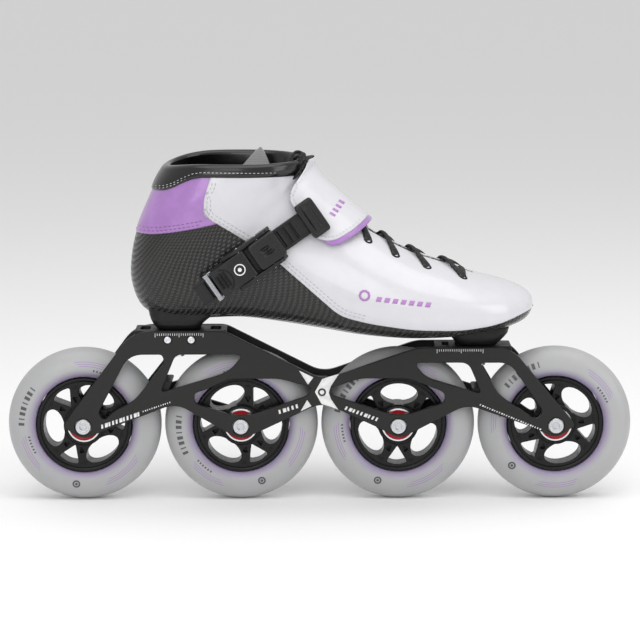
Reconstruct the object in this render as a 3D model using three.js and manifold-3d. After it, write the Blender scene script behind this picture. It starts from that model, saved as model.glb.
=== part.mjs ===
// Inline speed skate for the right foot: a low carbon boot on a long two-rail frame with four wheels.
// Millimetres. The toe points along +X, the outer (lateral) side of the foot is -Y, and +Z is up.
// The origin is on the ground, half way between the first and the last axle.
import * as THREE from 'three';
import { mergeVertices } from 'three/addons/utils/BufferGeometryUtils.js';
import Module from 'manifold-3d';

const wasm = await Module();
wasm.setup();

// Driving dimensions
const WHEELBASE = 305;
const WHEEL_COUNT = 4;
const PITCH = WHEELBASE / (WHEEL_COUNT - 1);
const TYRE_RADIUS = 49.7;
const TYRE_HALF_WIDTH = 12;
const RIM_RADIUS = 31;
const HUB_HALF_WIDTH = 12;
const BEARING_RADIUS = 11;
const BEARING_BORE = 4.3;
const AXLE_RADIUS = 4;
const FRAME_HALF_WIDTH = 18;
const RAIL_THICKNESS = 4;
const RAIL_INNER = FRAME_HALF_WIDTH - RAIL_THICKNESS;
const REAR_DECK_TOP = 112;
const FRONT_DECK_TOP = 101.1;
const HEEL_BOLT_X = -92;
const TOE_BOLT_X = 103;
const GAP = 0.3;
const SKIN = 2.2;
const LINER = 3;

// Finishes
function finish(color, roughness, metalness = 0) {
  return new THREE.MeshStandardMaterial({ color, roughness, metalness });
}
const blackAnodised = () => finish(0x17181a, 0.38, 0.6);
const steel = () => finish(0xb9bcc0, 0.28, 1);
const blackPlastic = () => finish(0x161617, 0.45);
const carbon = () => finish(0x1b1b1b, 0.22);
const whitePatent = () => finish(0xe9e8ec, 0.18);
const lilacPatent = () => finish(0xb48cc6, 0.2);
const blackPatent = () => finish(0x0c0c0d, 0.15);

// Solid helpers
function solid(geometry) {
  const bare = geometry.index ? geometry.toNonIndexed() : geometry.clone();
  for (const name of Object.keys(bare.attributes)) {
    if (name !== 'position') bare.deleteAttribute(name);
  }
  const merged = mergeVertices(bare, 1e-4);
  const corners = merged.index.array;
  const kept = [];
  for (let i = 0; i < corners.length; i += 3) {
    const [a, b, c] = [corners[i], corners[i + 1], corners[i + 2]];
    if (a !== b && b !== c && c !== a) kept.push(a, b, c);
  }
  const mesh = new wasm.Mesh({
    numProp: 3,
    vertProperties: new Float32Array(merged.attributes.position.array),
    triVerts: new Uint32Array(kept),
  });
  return new wasm.Manifold(mesh);
}

function union(solids) {
  return solids.reduce((sum, next) => sum.add(next));
}

function named(name, shape, material) {
  const { vertProperties, triVerts } = shape.getMesh();
  const geometry = new THREE.BufferGeometry();
  geometry.setAttribute('position', new THREE.BufferAttribute(vertProperties, 3));
  geometry.setIndex(new THREE.BufferAttribute(triVerts, 1));
  geometry.computeVertexNormals();
  const mesh = new THREE.Mesh(geometry, material);
  mesh.name = name;
  return mesh;
}

// A ring or disc about the Y axis from its (radius, y) profile, which closes on itself.
function turned(profile, segments = 16) {
  const points = profile.map(([r, y]) => new THREE.Vector2(r, y));
  points.push(points[0].clone());
  return solid(new THREE.LatheGeometry(points, segments));
}

function ring(inner, outer, low, high, segments = 16) {
  return turned([[inner, low], [outer, low], [outer, high], [inner, high]], segments);
}

function rodY(radius, low, high, x = 0, z = 0, segments = 16) {
  const rod = new THREE.CylinderGeometry(radius, radius, high - low, segments);
  return solid(rod.translate(x, (low + high) / 2, z));
}

function rodZ(radius, low, high, x = 0, y = 0, segments = 12) {
  const rod = new THREE.CylinderGeometry(radius, radius, high - low, segments).rotateX(Math.PI / 2);
  return solid(rod.translate(x, y, (low + high) / 2));
}

function box(x0, x1, y0, y1, z0, z1) {
  const shape = new THREE.BoxGeometry(x1 - x0, y1 - y0, z1 - z0);
  return solid(shape.translate((x0 + x1) / 2, (y0 + y1) / 2, (z0 + z1) / 2));
}

// A closed outline whose corners [x, z, cut] are rounded: the curve leaves each side `cut` from it.
function roundedOutline(corners) {
  const count = corners.length;
  const spots = corners.map(([x, z]) => new THREE.Vector2(x, z));
  const shape = new THREE.Shape();
  corners.forEach(([x, z, cut = 0], i) => {
    const before = spots[(i + count - 1) % count].clone().sub(spots[i]).setLength(cut).add(spots[i]);
    const after = spots[(i + 1) % count].clone().sub(spots[i]).setLength(cut).add(spots[i]);
    if (i === 0) shape.moveTo(before.x, before.y);
    else shape.lineTo(before.x, before.y);
    if (cut > 0) shape.quadraticCurveTo(x, z, after.x, after.y);
  });
  shape.closePath();
  return shape;
}

// An (x, z) outline carried along Y from `low` to `high`.
function prism(outline, low, high, curveSegments = 2) {
  const shape = Array.isArray(outline) ? roundedOutline(outline) : outline;
  const options = { depth: high - low, bevelEnabled: false, curveSegments };
  return solid(new THREE.ExtrudeGeometry(shape, options).rotateX(Math.PI / 2).translate(0, high, 0));
}

// An (x, y) outline carried upwards from `low` to `high`.
function slab(corners, low, high, curveSegments = 2) {
  const options = { depth: high - low, bevelEnabled: false, curveSegments };
  return solid(new THREE.ExtrudeGeometry(roundedOutline(corners), options).translate(0, 0, low));
}

function regularOutline(radius, sides) {
  const shape = new THREE.Shape();
  for (let i = 0; i < sides; i += 1) {
    const angle = (2 * Math.PI * i) / sides;
    const [x, y] = [radius * Math.cos(angle), radius * Math.sin(angle)];
    if (i === 0) shape.moveTo(x, y);
    else shape.lineTo(x, y);
  }
  shape.closePath();
  return shape;
}

function tube(points, radius, sides, steps) {
  const path = new THREE.CatmullRomCurve3(points.map((p) => new THREE.Vector3(...p)));
  const options = { steps, extrudePath: path, bevelEnabled: false };
  return solid(new THREE.ExtrudeGeometry(regularOutline(radius, sides), options));
}

// Wheels: a urethane tyre cast on a spoked hub, two bearings with a spacer between them, one axle.
const TYRE_PROFILE = [
  [RIM_RADIUS + GAP, -8.5], [35, -TYRE_HALF_WIDTH], [42, -11], [47.4, -6.4], [TYRE_RADIUS, 0],
];

function tyre() {
  const other = TYRE_PROFILE.slice(0, -1).reverse().map(([r, y]) => [r, -y]);
  return turned([...TYRE_PROFILE, ...other], 32);
}

const SPOKE_SETS = 3;
const SPOKE_HALF_THICKNESS = 4.5;

function hubWeb() {
  let web = rodY(26.5, -SPOKE_HALF_THICKNESS, SPOKE_HALF_THICKNESS, 0, 0, 24)
    .subtract(rodY(8.6, -HUB_HALF_WIDTH, HUB_HALF_WIDTH));
  for (let i = 0; i < SPOKE_SETS; i += 1) {
    const turn = (2 * Math.PI * i) / SPOKE_SETS;
    const oval = new THREE.Shape();
    oval.absellipse(20 * Math.cos(turn), 20 * Math.sin(turn), 5.4, 10.8, 0, 2 * Math.PI, false, turn);
    const middle = turn + Math.PI / SPOKE_SETS;
    const place = (r, a) => [r * Math.cos(middle + a), r * Math.sin(middle + a), 1.6];
    const wedge = [place(15, 0), place(24.8, -0.36), place(24.8, 0.36)];
    web = web.subtract(prism(oval, -9, 9, 5)).subtract(prism(wedge, -9, 9));
  }
  return web;
}

function hub() {
  const bearingSeat = rodY(BEARING_RADIUS, SPOKE_HALF_THICKNESS + GAP, HUB_HALF_WIDTH + 1);
  const housing = ring(10, 13.8, -HUB_HALF_WIDTH, HUB_HALF_WIDTH);
  const rim = turned([[26, -7.6], [RIM_RADIUS, -7.6], [RIM_RADIUS, 7.6], [26, 7.6]], 24);
  return union([housing, hubWeb(), rim]).subtract(bearingSeat).subtract(bearingSeat.mirror([0, 1, 0]));
}

// The axle is one bolt: its head sits in the outer rail and its threaded end in the inner rail.
function axle() {
  const head = rodY(5, -18.6, -16.2);
  const shank = rodY(AXLE_RADIUS, -16.3, 17.6);
  const key = prism(regularOutline(2.3, 6), -19, -17);
  return head.add(shank).subtract(key);
}

function wheel(number, x, turn) {
  const group = new THREE.Group();
  group.position.set(x, 0, TYRE_RADIUS);
  const hubMesh = named(`hub_${number}`, hub(), blackPlastic());
  hubMesh.rotation.y = -turn;
  group.add(named(`tyre_${number}`, tyre(), finish(0xd3d2d6, 0.35)), hubMesh);
  for (const [side, sign] of [['lateral', -1], ['medial', 1]]) {
    const [low, high] = sign < 0 ? [-HUB_HALF_WIDTH, -5.2] : [5.2, HUB_HALF_WIDTH];
    const bearing = ring(BEARING_BORE, BEARING_RADIUS - GAP, low, high);
    group.add(named(`bearing_${number}_${side}`, bearing, steel()));
  }
  group.add(named(`spacer_${number}`, ring(BEARING_BORE, 6.2, -4.9, 4.9, 12), finish(0x9a9da1, 0.35, 1)));
  group.add(named(`axle_${number}`, axle(), steel()));
  return group;
}

// Frame rails: corners of the side plate, front to back along the top, then along the wheel arches.
const NOSE = TYRE_RADIUS - 8.4;
const RAIL_OUTLINE = [
  [-165.3, 49.8, 2], [-161.2, 56.8, 3], [-119.9, REAR_DECK_TOP, 12], [-61, REAR_DECK_TOP, 4], [2.2, 80.1, 9],
  [63, 101, 5], [123, 101, 10], [163.4, 52.4, 1.3], [164.4, 49.6, 1.3],
  [152.5, NOSE, 6], [136.5, 49.3, 3], [95, 63.8, 8], [62, 46.8, 3], [PITCH / 2, NOSE, 6],
  [40.5, 47.6, 3], [2, 65.6, 9], [-38.5, 46.6, 3], [-PITCH / 2, NOSE, 6], [-62.5, 47.6, 3],
  [-92.5, 65.2, 9], [-140, 47, 3], [-152.5, NOSE, 6],
];
const RAIL_OPENINGS = [
  [[-122.5, 96.8, 9], [-100.9, 96.8, 2.5], [-99.8, 91.3, 2.5], [-119.5, 66.4, 6], [-132, 60.3, 4],
    [-138.9, 53.8, 2.8], [-142.9, 58.3, 2.8]],
  [[-92.4, 96.8, 4], [-49, 96.8, 5], [-58, 85.2, 8], [-102.6, 71.9, 4]],
  [[-80.5, 71.6, 2], [-72, 74.4, 4], [-58, 81, 5], [-25.5, 81, 5], [-5, 75.3, 3], [-7.5, 69.8, 2.5],
    [-45, 57.2, 6], [-56, 57.2, 5], [-80.5, 64.8, 3]],
  [[6.5, 74.3, 2], [25.5, 81, 5], [57.5, 81, 5], [80.5, 71.8, 3], [80.8, 65.2, 3], [56.5, 57.3, 5],
    [47, 57.3, 4], [7.5, 70.3, 2]],
  [[61.2, 91.1, 4], [95.8, 91.1, 5], [104.4, 70.6, 4], [67.5, 81.8, 6]],
  [[103.3, 91, 3], [122.3, 91, 7], [144.3, 59.2, 3.5], [139.8, 53.3, 3.5], [115.5, 70, 5]],
];
const AXLE_XS = [...Array(WHEEL_COUNT).keys()].map((i) => -WHEELBASE / 2 + i * PITCH);
const BRIDGE_SCREW_XS = [-97.4, -82.3];
const BRIDGE_SCREW_Z = 106.4;

function rail(side) {
  const [low, high] = side < 0 ? [-FRAME_HALF_WIDTH, -RAIL_INNER] : [RAIL_INNER, FRAME_HALF_WIDTH];
  const [bossLow, bossHigh] = side < 0 ? [-RAIL_INNER - 1, -12.3] : [12.3, RAIL_INNER + 1];
  let body = prism(RAIL_OUTLINE, low, high);
  for (const opening of RAIL_OPENINGS) body = body.subtract(prism(opening, -19, 19));
  for (const x of AXLE_XS) {
    body = body.add(rodY(6.2, bossLow, bossHigh, x, TYRE_RADIUS, 12));
    body = body.subtract(rodY(AXLE_RADIUS + GAP, -19, 19, x, TYRE_RADIUS, 12));
    if (side < 0) body = body.subtract(rodY(5.5, -19, -15.9, x, TYRE_RADIUS, 12));
  }
  for (const x of BRIDGE_SCREW_XS) {
    body = body.subtract(rodY(2.8, -19, 19, x, BRIDGE_SCREW_Z, 12));
  }
  return body;
}

// The heel bridge carries the boot's heel between the rails and takes the bolt in a long slot.
function mountSlot(x, low, high) {
  return slab([[x - 9, -3.6, 3.5], [x + 9, -3.6, 3.5], [x + 9, 3.6, 3.5], [x - 9, 3.6, 3.5]], low, high);
}

function heelBridge() {
  const side = RAIL_INNER - GAP;
  let bridge = prism([[-121, 106, 3], [-117, REAR_DECK_TOP, 4], [-62, REAR_DECK_TOP, 3], [-57, 109, 2],
    [-72, 101.2, 4], [-108, 101.2, 4]], -side, side);
  bridge = bridge.subtract(mountSlot(HEEL_BOLT_X, 90, 120));
  for (const x of [-112.5, -67]) {
    bridge = bridge.subtract(slab([[x - 3.5, -8, 3], [x + 3.5, -8, 3], [x + 3.5, 8, 3], [x - 3.5, 8, 3]],
      90, 120));
  }
  for (const x of BRIDGE_SCREW_XS) {
    for (const sign of [-1, 1]) {
      const [low, high] = sign < 0 ? [-15, -6] : [6, 15];
      bridge = bridge.subtract(rodY(1.8, low, high, x, BRIDGE_SCREW_Z, 12));
    }
  }
  return bridge;
}

function bridgeScrew(x, sign) {
  const span = (low, high) => (sign < 0 ? [-high, -low] : [low, high]);
  const head = rodY(2.5, ...span(15.2, 18.2), x, BRIDGE_SCREW_Z, 12);
  const shank = rodY(1.5, ...span(6.5, 15.3), x, BRIDGE_SCREW_Z, 12);
  return head.add(shank);
}

function toeDeck() {
  const side = RAIL_INNER - GAP;
  let deck = prism([[74, 95.6, 2], [73, 99.4, 1], [79, FRONT_DECK_TOP, 2], [121, FRONT_DECK_TOP, 3],
    [125.5, 96.4, 2], [121, 94.9, 2]], -side, side);
  deck = deck.subtract(mountSlot(TOE_BOLT_X, 90, 110));
  for (const x of [81, 90]) {
    const hole = [[x - 2.2, -8, 2], [x + 2.2, -8, 2], [x + 2.2, 8, 2], [x - 2.2, 8, 2]];
    deck = deck.subtract(slab(hole, 90, 110));
  }
  return deck;
}

// A web ties the two rails together in the wedge of space between two wheels.
function web(x, low, high, lowHalf, highHalf) {
  const side = RAIL_INNER - GAP;
  return prism([[x - lowHalf, low, 1], [x + lowHalf, low, 1], [x + highHalf, high, 2],
    [x - highHalf, high, 2]], -side, side);
}

function mountBolt(x, deckBottom, reach) {
  const head = rodZ(4.9, deckBottom - 7.5, deckBottom - 2.1, x);
  const shank = rodZ(3, deckBottom - 2.2, reach, x);
  const key = rodZ(2.6, deckBottom - 8, deckBottom - 4.6, x, 0, 6);
  return head.add(shank).subtract(key);
}

function ringZ(inner, outer, low, high, x) {
  return rodZ(outer, low, high, x).subtract(rodZ(inner, low - 1, high + 1, x));
}

// Boot surface. Sections fan round from the toe, through the instep, to the ankle opening. Each row
// is one section: its end on the sole or heel line (x, z), its end on the instep line (x, z), its
// half widths to the lateral and medial side, its middle (y), how far along it is widest (0 to 1),
// and the powers of its lower and upper half, where 2 is an ellipse and more is squarer.
const SECTIONS = [
  [137.9, 126.0, 137.9, 126.2, 0, 0, 7, 0.5, 2.4, 2.2],
  [136.6, 121.8, 137.0, 131.0, 13, 15, 7, 0.45, 2.4, 2.2],
  [131.5, 117.0, 130.6, 136.6, 25, 27, 6, 0.42, 2.6, 2.2],
  [120.0, 113.0, 117.5, 141.9, 36, 35, 4.5, 0.4, 2.8, 2.2],
  [103.0, 110.2, 101.0, 146.3, 43, 41, 3, 0.38, 3.0, 2.2],
  [82.0, 107.6, 82.0, 153.2, 47, 46.5, 2, 0.37, 3.0, 2.2],
  [56.0, 107.0, 62.0, 159.8, 47, 46.5, 1.5, 0.37, 3.0, 2.2],
  [28.0, 108.8, 43.0, 169.0, 43.5, 41.5, 0, 0.38, 2.8, 2.2],
  [2.0, 112.6, 26.0, 179.5, 39.5, 37.5, 0, 0.4, 2.6, 2.2],
  [-24.0, 116.6, 11.0, 191.5, 36.5, 35, 0, 0.42, 2.5, 2.2],
  [-50.0, 119.6, -1.0, 202.0, 35, 34, 0, 0.45, 2.4, 2.2],
  [-76.0, 119.0, -6.0, 208.0, 34, 33.5, 0, 0.48, 2.4, 2.2],
  [-100.0, 119.5, -8.5, 212.0, 33.5, 33.5, 0, 0.5, 2.4, 2.2],
  [-114.5, 127.0, -9.5, 214.5, 34, 34, 0, 0.5, 2.3, 2.3],
  [-121.0, 143.0, -10.0, 216.5, 35, 35, 0, 0.5, 2.3, 2.3],
  [-120.8, 160.0, -10.0, 218.0, 36, 36, 0, 0.5, 2.3, 2.3],
  [-116.5, 179.0, -10.0, 219.5, 37, 37, 0, 0.5, 2.3, 2.3],
  [-109.0, 197.0, -9.5, 221.0, 37, 37, 0, 0.5, 2.3, 2.3],
  [-101.5, 213.0, -9.0, 223.0, 36.5, 36.5, 0, 0.5, 2.3, 2.3],
  [-96.0, 223.5, -9.0, 224.5, 36, 36, 0, 0.5, 2.3, 2.3],
];
const AROUND = 18;
const STEPS_PER_SECTION = 1;

// Catmull-Rom interpolation of one column of the table at the fractional row u.
function column(index, u) {
  const last = SECTIONS.length - 1;
  const i = Math.min(Math.floor(u), last - 1);
  const t = u - i;
  const at = (k) => SECTIONS[Math.max(0, Math.min(last, k))][index];
  const [a, b, c, d] = [at(i - 1), at(i), at(i + 1), at(i + 2)];
  return b + 0.5 * t * (c - a + t * (2 * a - 5 * b + 4 * c - d + t * (3 * (b - c) + d - a)));
}

// The point of section u at an angle round it, from 90 degrees on the instep line to -90 on the sole
// line. The offset moves the surface outwards: `sole` and `instep` at its two lines, `side` between.
function surfacePoint(u, angle, { sole, instep, side }) {
  const row = SECTIONS[0].map((_, k) => column(k, u));
  const [ax, az, bx, bz, lateral, medial, middle, widest, low, high] = row;
  const along = new THREE.Vector2(bx - ax, bz - az).normalize();
  const start = new THREE.Vector2(ax, az).addScaledVector(along, -sole);
  const end = new THREE.Vector2(bx, bz).addScaledVector(along, instep);
  const [s, c] = [Math.sin(angle), Math.cos(angle)];
  const power = 2 / (s < 0 ? low : high);
  const climb = Math.sign(s) * Math.abs(s) ** power;
  const reach = Math.sign(c) * Math.abs(c) ** power;
  const share = climb < 0 ? widest * (1 + climb) : widest + climb * (1 - widest);
  const spot = start.lerp(end, share);
  const half = Math.max((c < 0 ? lateral : medial) + side, 0.5);
  return [spot.x, middle + reach * half, spot.y];
}

function sectionRing(u, offset, lift) {
  return [...Array(AROUND).keys()].map((k) => {
    const [x, y, z] = surfacePoint(u, (2 * Math.PI * k) / AROUND, offset);
    return [x, y, z + lift];
  });
}

// The closed solid inside that surface. `rise` carries its top past the ankle opening.
function bootSolid(offset, rise = 0) {
  const last = SECTIONS.length - 1;
  const count = Math.round(last * STEPS_PER_SECTION);
  const first = offset.side < 0 ? 1 + 0.16 * Math.abs(offset.side) : 0.12;
  const rings = [];
  for (let i = 0; i <= count; i += 1) {
    rings.push(sectionRing(first + ((last - first) * i) / count, offset, 0));
  }
  if (rise > 0) rings.push(sectionRing(last, offset, rise));
  const vertices = rings.flat(2);
  const faces = [];
  for (let i = 0; i + 1 < rings.length; i += 1) {
    for (let k = 0; k < AROUND; k += 1) {
      const [a, b] = [i * AROUND + k, i * AROUND + ((k + 1) % AROUND)];
      faces.push(b, a, b + AROUND, b + AROUND, a, a + AROUND);
    }
  }
  for (const [row, flip] of [[0, false], [rings.length - 1, true]]) {
    const centre = vertices.length / 3;
    const sum = rings[row].reduce((total, p) => total.map((v, k) => v + p[k] / AROUND), [0, 0, 0]);
    vertices.push(...sum);
    for (let k = 0; k < AROUND; k += 1) {
      const [a, b] = [row * AROUND + k, row * AROUND + ((k + 1) % AROUND)];
      if (flip) faces.push(b, a, centre);
      else faces.push(a, b, centre);
    }
  }
  const geometry = new THREE.BufferGeometry();
  geometry.setAttribute('position', new THREE.Float32BufferAttribute(vertices, 3));
  geometry.setIndex(faces);
  return solid(geometry);
}

const evenly = (distance) => ({ sole: distance, instep: distance, side: distance });

// Seams of the boot's panels, seen from the side, and the regions that they bound.
const COLLAR_SEAM = [[-125, 201], [-98, 203.8], [-86, 209.2], [-74, 212.9], [5, 212]];
const HEEL_SEAM = [[-126, 176], [-104, 175.5], [-84, 179.2], [-64.7, 183.6]];
const QUARTER_REAR_SEAM = [[-66.5, 218], [-69, 209], [-73.2, 198.5], [-72.4, 191], [-64.7, 183.6]];
const QUARTER_SOLE_SEAM = [[-64.7, 183.6], [-27.1, 159.5], [14.4, 123.7], [32.8, 120.2], [60, 116.4],
  [89.8, 115.8], [110, 117.8], [142, 128]];

function seamCut(line) {
  const half = GAP / 2;
  const sides = [1, -1].map((sign) => line.map(([x, z], i) => {
    const [px, pz] = line[Math.max(0, i - 1)];
    const [nx, nz] = line[Math.min(line.length - 1, i + 1)];
    const length = Math.hypot(nx - px, nz - pz);
    return [x - (sign * half * (nz - pz)) / length, z + (sign * half * (nx - px)) / length];
  }));
  return prism([...sides[1], ...sides[0].reverse()], -90, 90);
}

// Shell, collar, heel panel and upper share one skin, parted along the seams.
const throatSlot = slab([[99, -3.5, 3], [99, 3.5, 3], [30, 8, 0], [-12, 12, 0], [-20, 12, 0],
  [-20, -12, 0], [-12, -12, 0], [30, -8, 0]], 138, 260);

function bootPanels() {
  let skin = bootSolid(evenly(0)).subtract(bootSolid(evenly(-SKIN), 8));
  for (const seam of [COLLAR_SEAM, HEEL_SEAM, QUARTER_REAR_SEAM, QUARTER_SOLE_SEAM]) {
    skin = skin.subtract(seamCut(seam));
  }
  const region = (outline) => prism(outline, -90, 90);
  const collarRegion = region([...COLLAR_SEAM, [5, 240], [-125, 240]]);
  const rear = [...QUARTER_REAR_SEAM].reverse().slice(1);
  const heelRegion = region([...HEEL_SEAM, ...rear, [-126, 218]]);
  const rearSeam = QUARTER_REAR_SEAM.slice(0, -1);
  const upperRegion = region([...QUARTER_SOLE_SEAM, [150, 180], [5, 230], ...rearSeam]);
  const collar = skin.intersect(collarRegion).subtract(throatSlot);
  skin = skin.subtract(collarRegion);
  const heelPanel = skin.intersect(heelRegion);
  const upper = skin.intersect(upperRegion).subtract(throatSlot);
  const lower = skin.subtract(heelRegion).subtract(upperRegion);
  return { collar, heelPanel, upper, lower };
}

// The carbon shell's mounting blocks, hollowed for the threaded inserts.
function mountBlocks() {
  const hollow = bootSolid(evenly(-SKIN), 8);
  const heelFoot = REAR_DECK_TOP + GAP;
  const heel = prism([[-109.5, 113.6, 2], [-105, heelFoot, 1.5], [-76.5, heelFoot, 1.5],
    [-73, 118, 2], [-66, 123], [-112, 126]], -21, 21);
  const toe = prism([[82, 107.2, 1], [87, FRONT_DECK_TOP + GAP, 2], [115, FRONT_DECK_TOP + GAP, 2],
    [121, 108.5, 2], [126, 116], [84, 112]], -22, 24);
  return heel.add(toe).subtract(hollow);
}

function carbonShell(lower) {
  let shell = lower.add(mountBlocks());
  shell = shell.subtract(rodZ(5.6, 100, 119.4, HEEL_BOLT_X));
  return shell.subtract(rodZ(5.6, 100, 109.2, TOE_BOLT_X));
}

const throatRegion = slab([[96, -9, 3], [96, 9, 3], [60, 20, 6], [-20, 24, 0], [-20, -24, 0], [60, -20, 6]],
  139, 260);
const TONGUE_DEPTH = 6;

function liner() {
  const shell = bootSolid(evenly(-SKIN - GAP)).subtract(bootSolid(evenly(-SKIN - GAP - LINER), 8));
  const channel = slab([[96.5, -9.4, 3], [96.5, 9.4, 3], [60, 20.4, 6], [-20.3, 24.4, 0], [-20.3, -24.4, 0],
    [60, -20.4, 6]], 136, 260);
  return shell.subtract(channel);
}

function tongue() {
  const outside = bootSolid(evenly(-SKIN - GAP));
  return outside.subtract(bootSolid(evenly(-SKIN - GAP - TONGUE_DEPTH), 8)).intersect(throatRegion);
}

function insole() {
  const inside = bootSolid(evenly(-SKIN - LINER - 2 * GAP));
  return inside.intersect(prism([[-115, 100], [128, 100], [128, 122], [96, 117.6, 10], [40, 116.6, 10],
    [-20, 127, 10], [-48, 129, 6], [-115, 129]], -60, 60));
}

// Instep strap: a wide band over the instep whose outer end narrows towards the buckle.
const STRAP_OUTSIDE = { sole: 0, instep: 8.6, side: 3.4 };
const STRAP_INSIDE = { sole: 0, instep: 6.4, side: 1.2 };

function instepStrap() {
  const band = bootSolid(STRAP_OUTSIDE, 1).subtract(bootSolid(STRAP_INSIDE, 8));
  const lateral = prism([[1, 229, 0], [-17, 205, 3], [-18.5, 197.5, 3], [-9, 184, 3], [2.5, 171.6, 4],
    [9, 168.6, 3], [22, 174.6, 3], [46, 191, 0]], -60, 0);
  const medial = prism([[1, 229, 0], [-46, 196, 6], [-20, 158, 6], [46, 191, 0]], 0, 60);
  return band.intersect(lateral.add(medial));
}

// Laces cross over the throat between four pairs of eyelets, clear of the upper. An eyelet is a
// section and the angle either side of the instep line.
const EYELET_SECTIONS = [7.6, 6.65, 5.65, 4.5];
const EYELET_ANGLE = THREE.MathUtils.degToRad(18);
const LACE_RADIUS = 1.5;

function laces() {
  const strand = (from, to, side) => tube([-1, -0.4, 0.4, 1].map((t) => {
    const u = from + ((to - from) * (t + 1)) / 2;
    return surfacePoint(u, Math.PI / 2 - t * side * EYELET_ANGLE, evenly(LACE_RADIUS + 0.6));
  }), LACE_RADIUS, 5, 5);
  const pieces = [strand(EYELET_SECTIONS[3], EYELET_SECTIONS[3], 1)];
  for (let i = 0; i + 1 < EYELET_SECTIONS.length; i += 1) {
    const [from, to] = [EYELET_SECTIONS[i], EYELET_SECTIONS[i + 1]];
    pieces.push(strand(from, to, 1), strand(from, to, -1));
  }
  return union(pieces);
}

// Buckle, in its own frame: x runs along the toothed strap towards the instep, z out of the boot.
const BUCKLE_ORIGIN = new THREE.Vector3(-45.5, -38.6, 158.5);
const STRAP_ANGLE = THREE.MathUtils.degToRad(34.6);
const STRAP_LEAN = THREE.MathUtils.degToRad(7);
const LADDER_LOW = 2.1;
const LADDER_HIGH = 4;
const TOOTH_HIGH = 5;

function buckleBase() {
  const plate = box(-22, 24, -9.6, 9.6, 0, 1.7);
  const wall = (y0, y1) => prism([[-13, 0], [-13, 5, 2], [-4, 10.4, 3], [20, 10.4, 4], [24, 0]], y0, y1, 3);
  const pinHole = (x, z) => rodY(1.3, -13, 13, x, z, 12);
  return union([plate, wall(-11.9, -9.5), wall(9.5, 11.9)])
    .subtract(pinHole(-1, 7.6)).subtract(pinHole(13, 7.9)).subtract(rodZ(2.8, -1, 1.95, 6, 0, 12));
}

function ladder() {
  const strip = box(-37, 50, -7.8, 7.8, LADDER_LOW, LADDER_HIGH);
  const teeth = [];
  for (let x = -33; x < 36; x += 5) {
    const root = LADDER_HIGH - 0.2;
    teeth.push(prism([[x, root], [x + 2.6, root], [x + 2.6, TOOTH_HIGH]], -6.4, 6.4));
  }
  return union([strip, ...teeth]);
}

function buckleLever() {
  const barrel = rodY(2.1, -9.1, 9.1, -1, 7.6, 12);
  const plate = prism([[-24, 6.2, 1], [-24, 8.2, 0.5], [-14, 11.6, 3], [1, 10.6, 1.5], [2.6, 8.6, 0],
    [-1, 6.4, 0], [-14, 8, 2]], -9.1, 9.1);
  const driver = prism([[-3.4, 7], [-2.4, 5.3], [0.2, 5.9], [1, 7]], -6, 6);
  const ribs = [-21.5, -18.8, -16.1].map((x) => prism([[x, 8.6], [x + 0.6, 11.2], [x + 1.6, 11.2],
    [x + 2, 9.4]], -7.5, 7.5));
  return union([barrel, plate, driver, ...ribs]).subtract(rodY(1.3, -13, 13, -1, 7.6, 12));
}

function buckleRelease() {
  const cap = prism([[4.6, 8.4, 1], [5.4, 12, 2], [22, 12.2, 2], [24.4, 9.4, 1.3], [22, 8, 1],
    [16, 9.2, 1], [10, 9.2, 1]], -9.1, 9.1);
  const barrel = rodY(2.1, -9.1, 9.1, 13, 7.9, 12);
  const pawl = prism([[12.6, 6.2], [6, 5.5], [5.2, 6.2], [5, 9.4], [12, 10]], -6, 6);
  return union([cap, barrel, pawl]).subtract(rodY(1.3, -13, 13, 13, 7.9, 12));
}

function ladderKeeper() {
  const bar = prism([[-28.4, 6], [-27.6, 6.9], [-25, 6.9], [-25, 6]], -9.4, 9.4);
  const leg = (y0, y1) => prism([[-28.4, 0.4], [-28.4, 6.4], [-25, 6.4], [-25, 0.4]], y0, y1);
  const foot = box(-28.4, -22.3, -9.4, 9.4, 0.2, 1.3);
  return union([bar, foot, leg(-9.4, -8.2), leg(8.2, 9.4)]);
}

function buckle() {
  const group = new THREE.Group();
  const along = new THREE.Vector3(Math.cos(STRAP_ANGLE) * Math.cos(STRAP_LEAN), Math.sin(STRAP_LEAN),
    Math.sin(STRAP_ANGLE) * Math.cos(STRAP_LEAN));
  const outward = new THREE.Vector3(0, -1, 0).addScaledVector(along, along.y).normalize();
  const across = outward.clone().cross(along);
  group.matrix.makeBasis(along, across, outward).setPosition(BUCKLE_ORIGIN);
  group.matrix.decompose(group.position, group.quaternion, group.scale);
  const plastic = blackPlastic();
  const plate = box(44, 56, -12, 12, TOOTH_HIGH + GAP, 8.6)
    .subtract(box(46.5, 48, -13, 13, 7.8, 9)).subtract(box(51, 52.5, -13, 13, 7.8, 9));
  group.add(named('buckle_base', buckleBase(), blackPlastic()));
  group.add(named('buckle_rivet', rodZ(2.5, -0.7, 1.95, 6, 0, 12), steel()));
  group.add(named('ladder_strap', ladder(), plastic));
  group.add(named('strap_end_plate', plate, blackPlastic()));
  group.add(named('buckle_lever', buckleLever(), blackPlastic()));
  group.add(named('buckle_lever_pin', rodY(1, -11.8, 11.8, -1, 7.6, 12), steel()));
  group.add(named('buckle_release', buckleRelease(), finish(0x2a2a2c, 0.5)));
  group.add(named('buckle_release_pin', rodY(1, -11.8, 11.8, 13, 7.9, 12), steel()));
  group.add(named('ladder_keeper', ladderKeeper(), finish(0x8d9094, 0.3, 0.8)));
  return group;
}

// Small fabric loop inside the medial wall of the ankle opening, for pulling the boot on.
function pullTab() {
  return prism([[-50, 216, 1], [-31, 216, 1], [-37, 227.5, 0.9], [-39, 227.5, 0.9]], 22.2, 23.4);
}

// Assembly
const skate = new THREE.Group();
const WHEEL_TURNS = [66, 117, 88, 45].map(THREE.MathUtils.degToRad);
AXLE_XS.forEach((x, i) => skate.add(wheel(i + 1, x, WHEEL_TURNS[i])));

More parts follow.
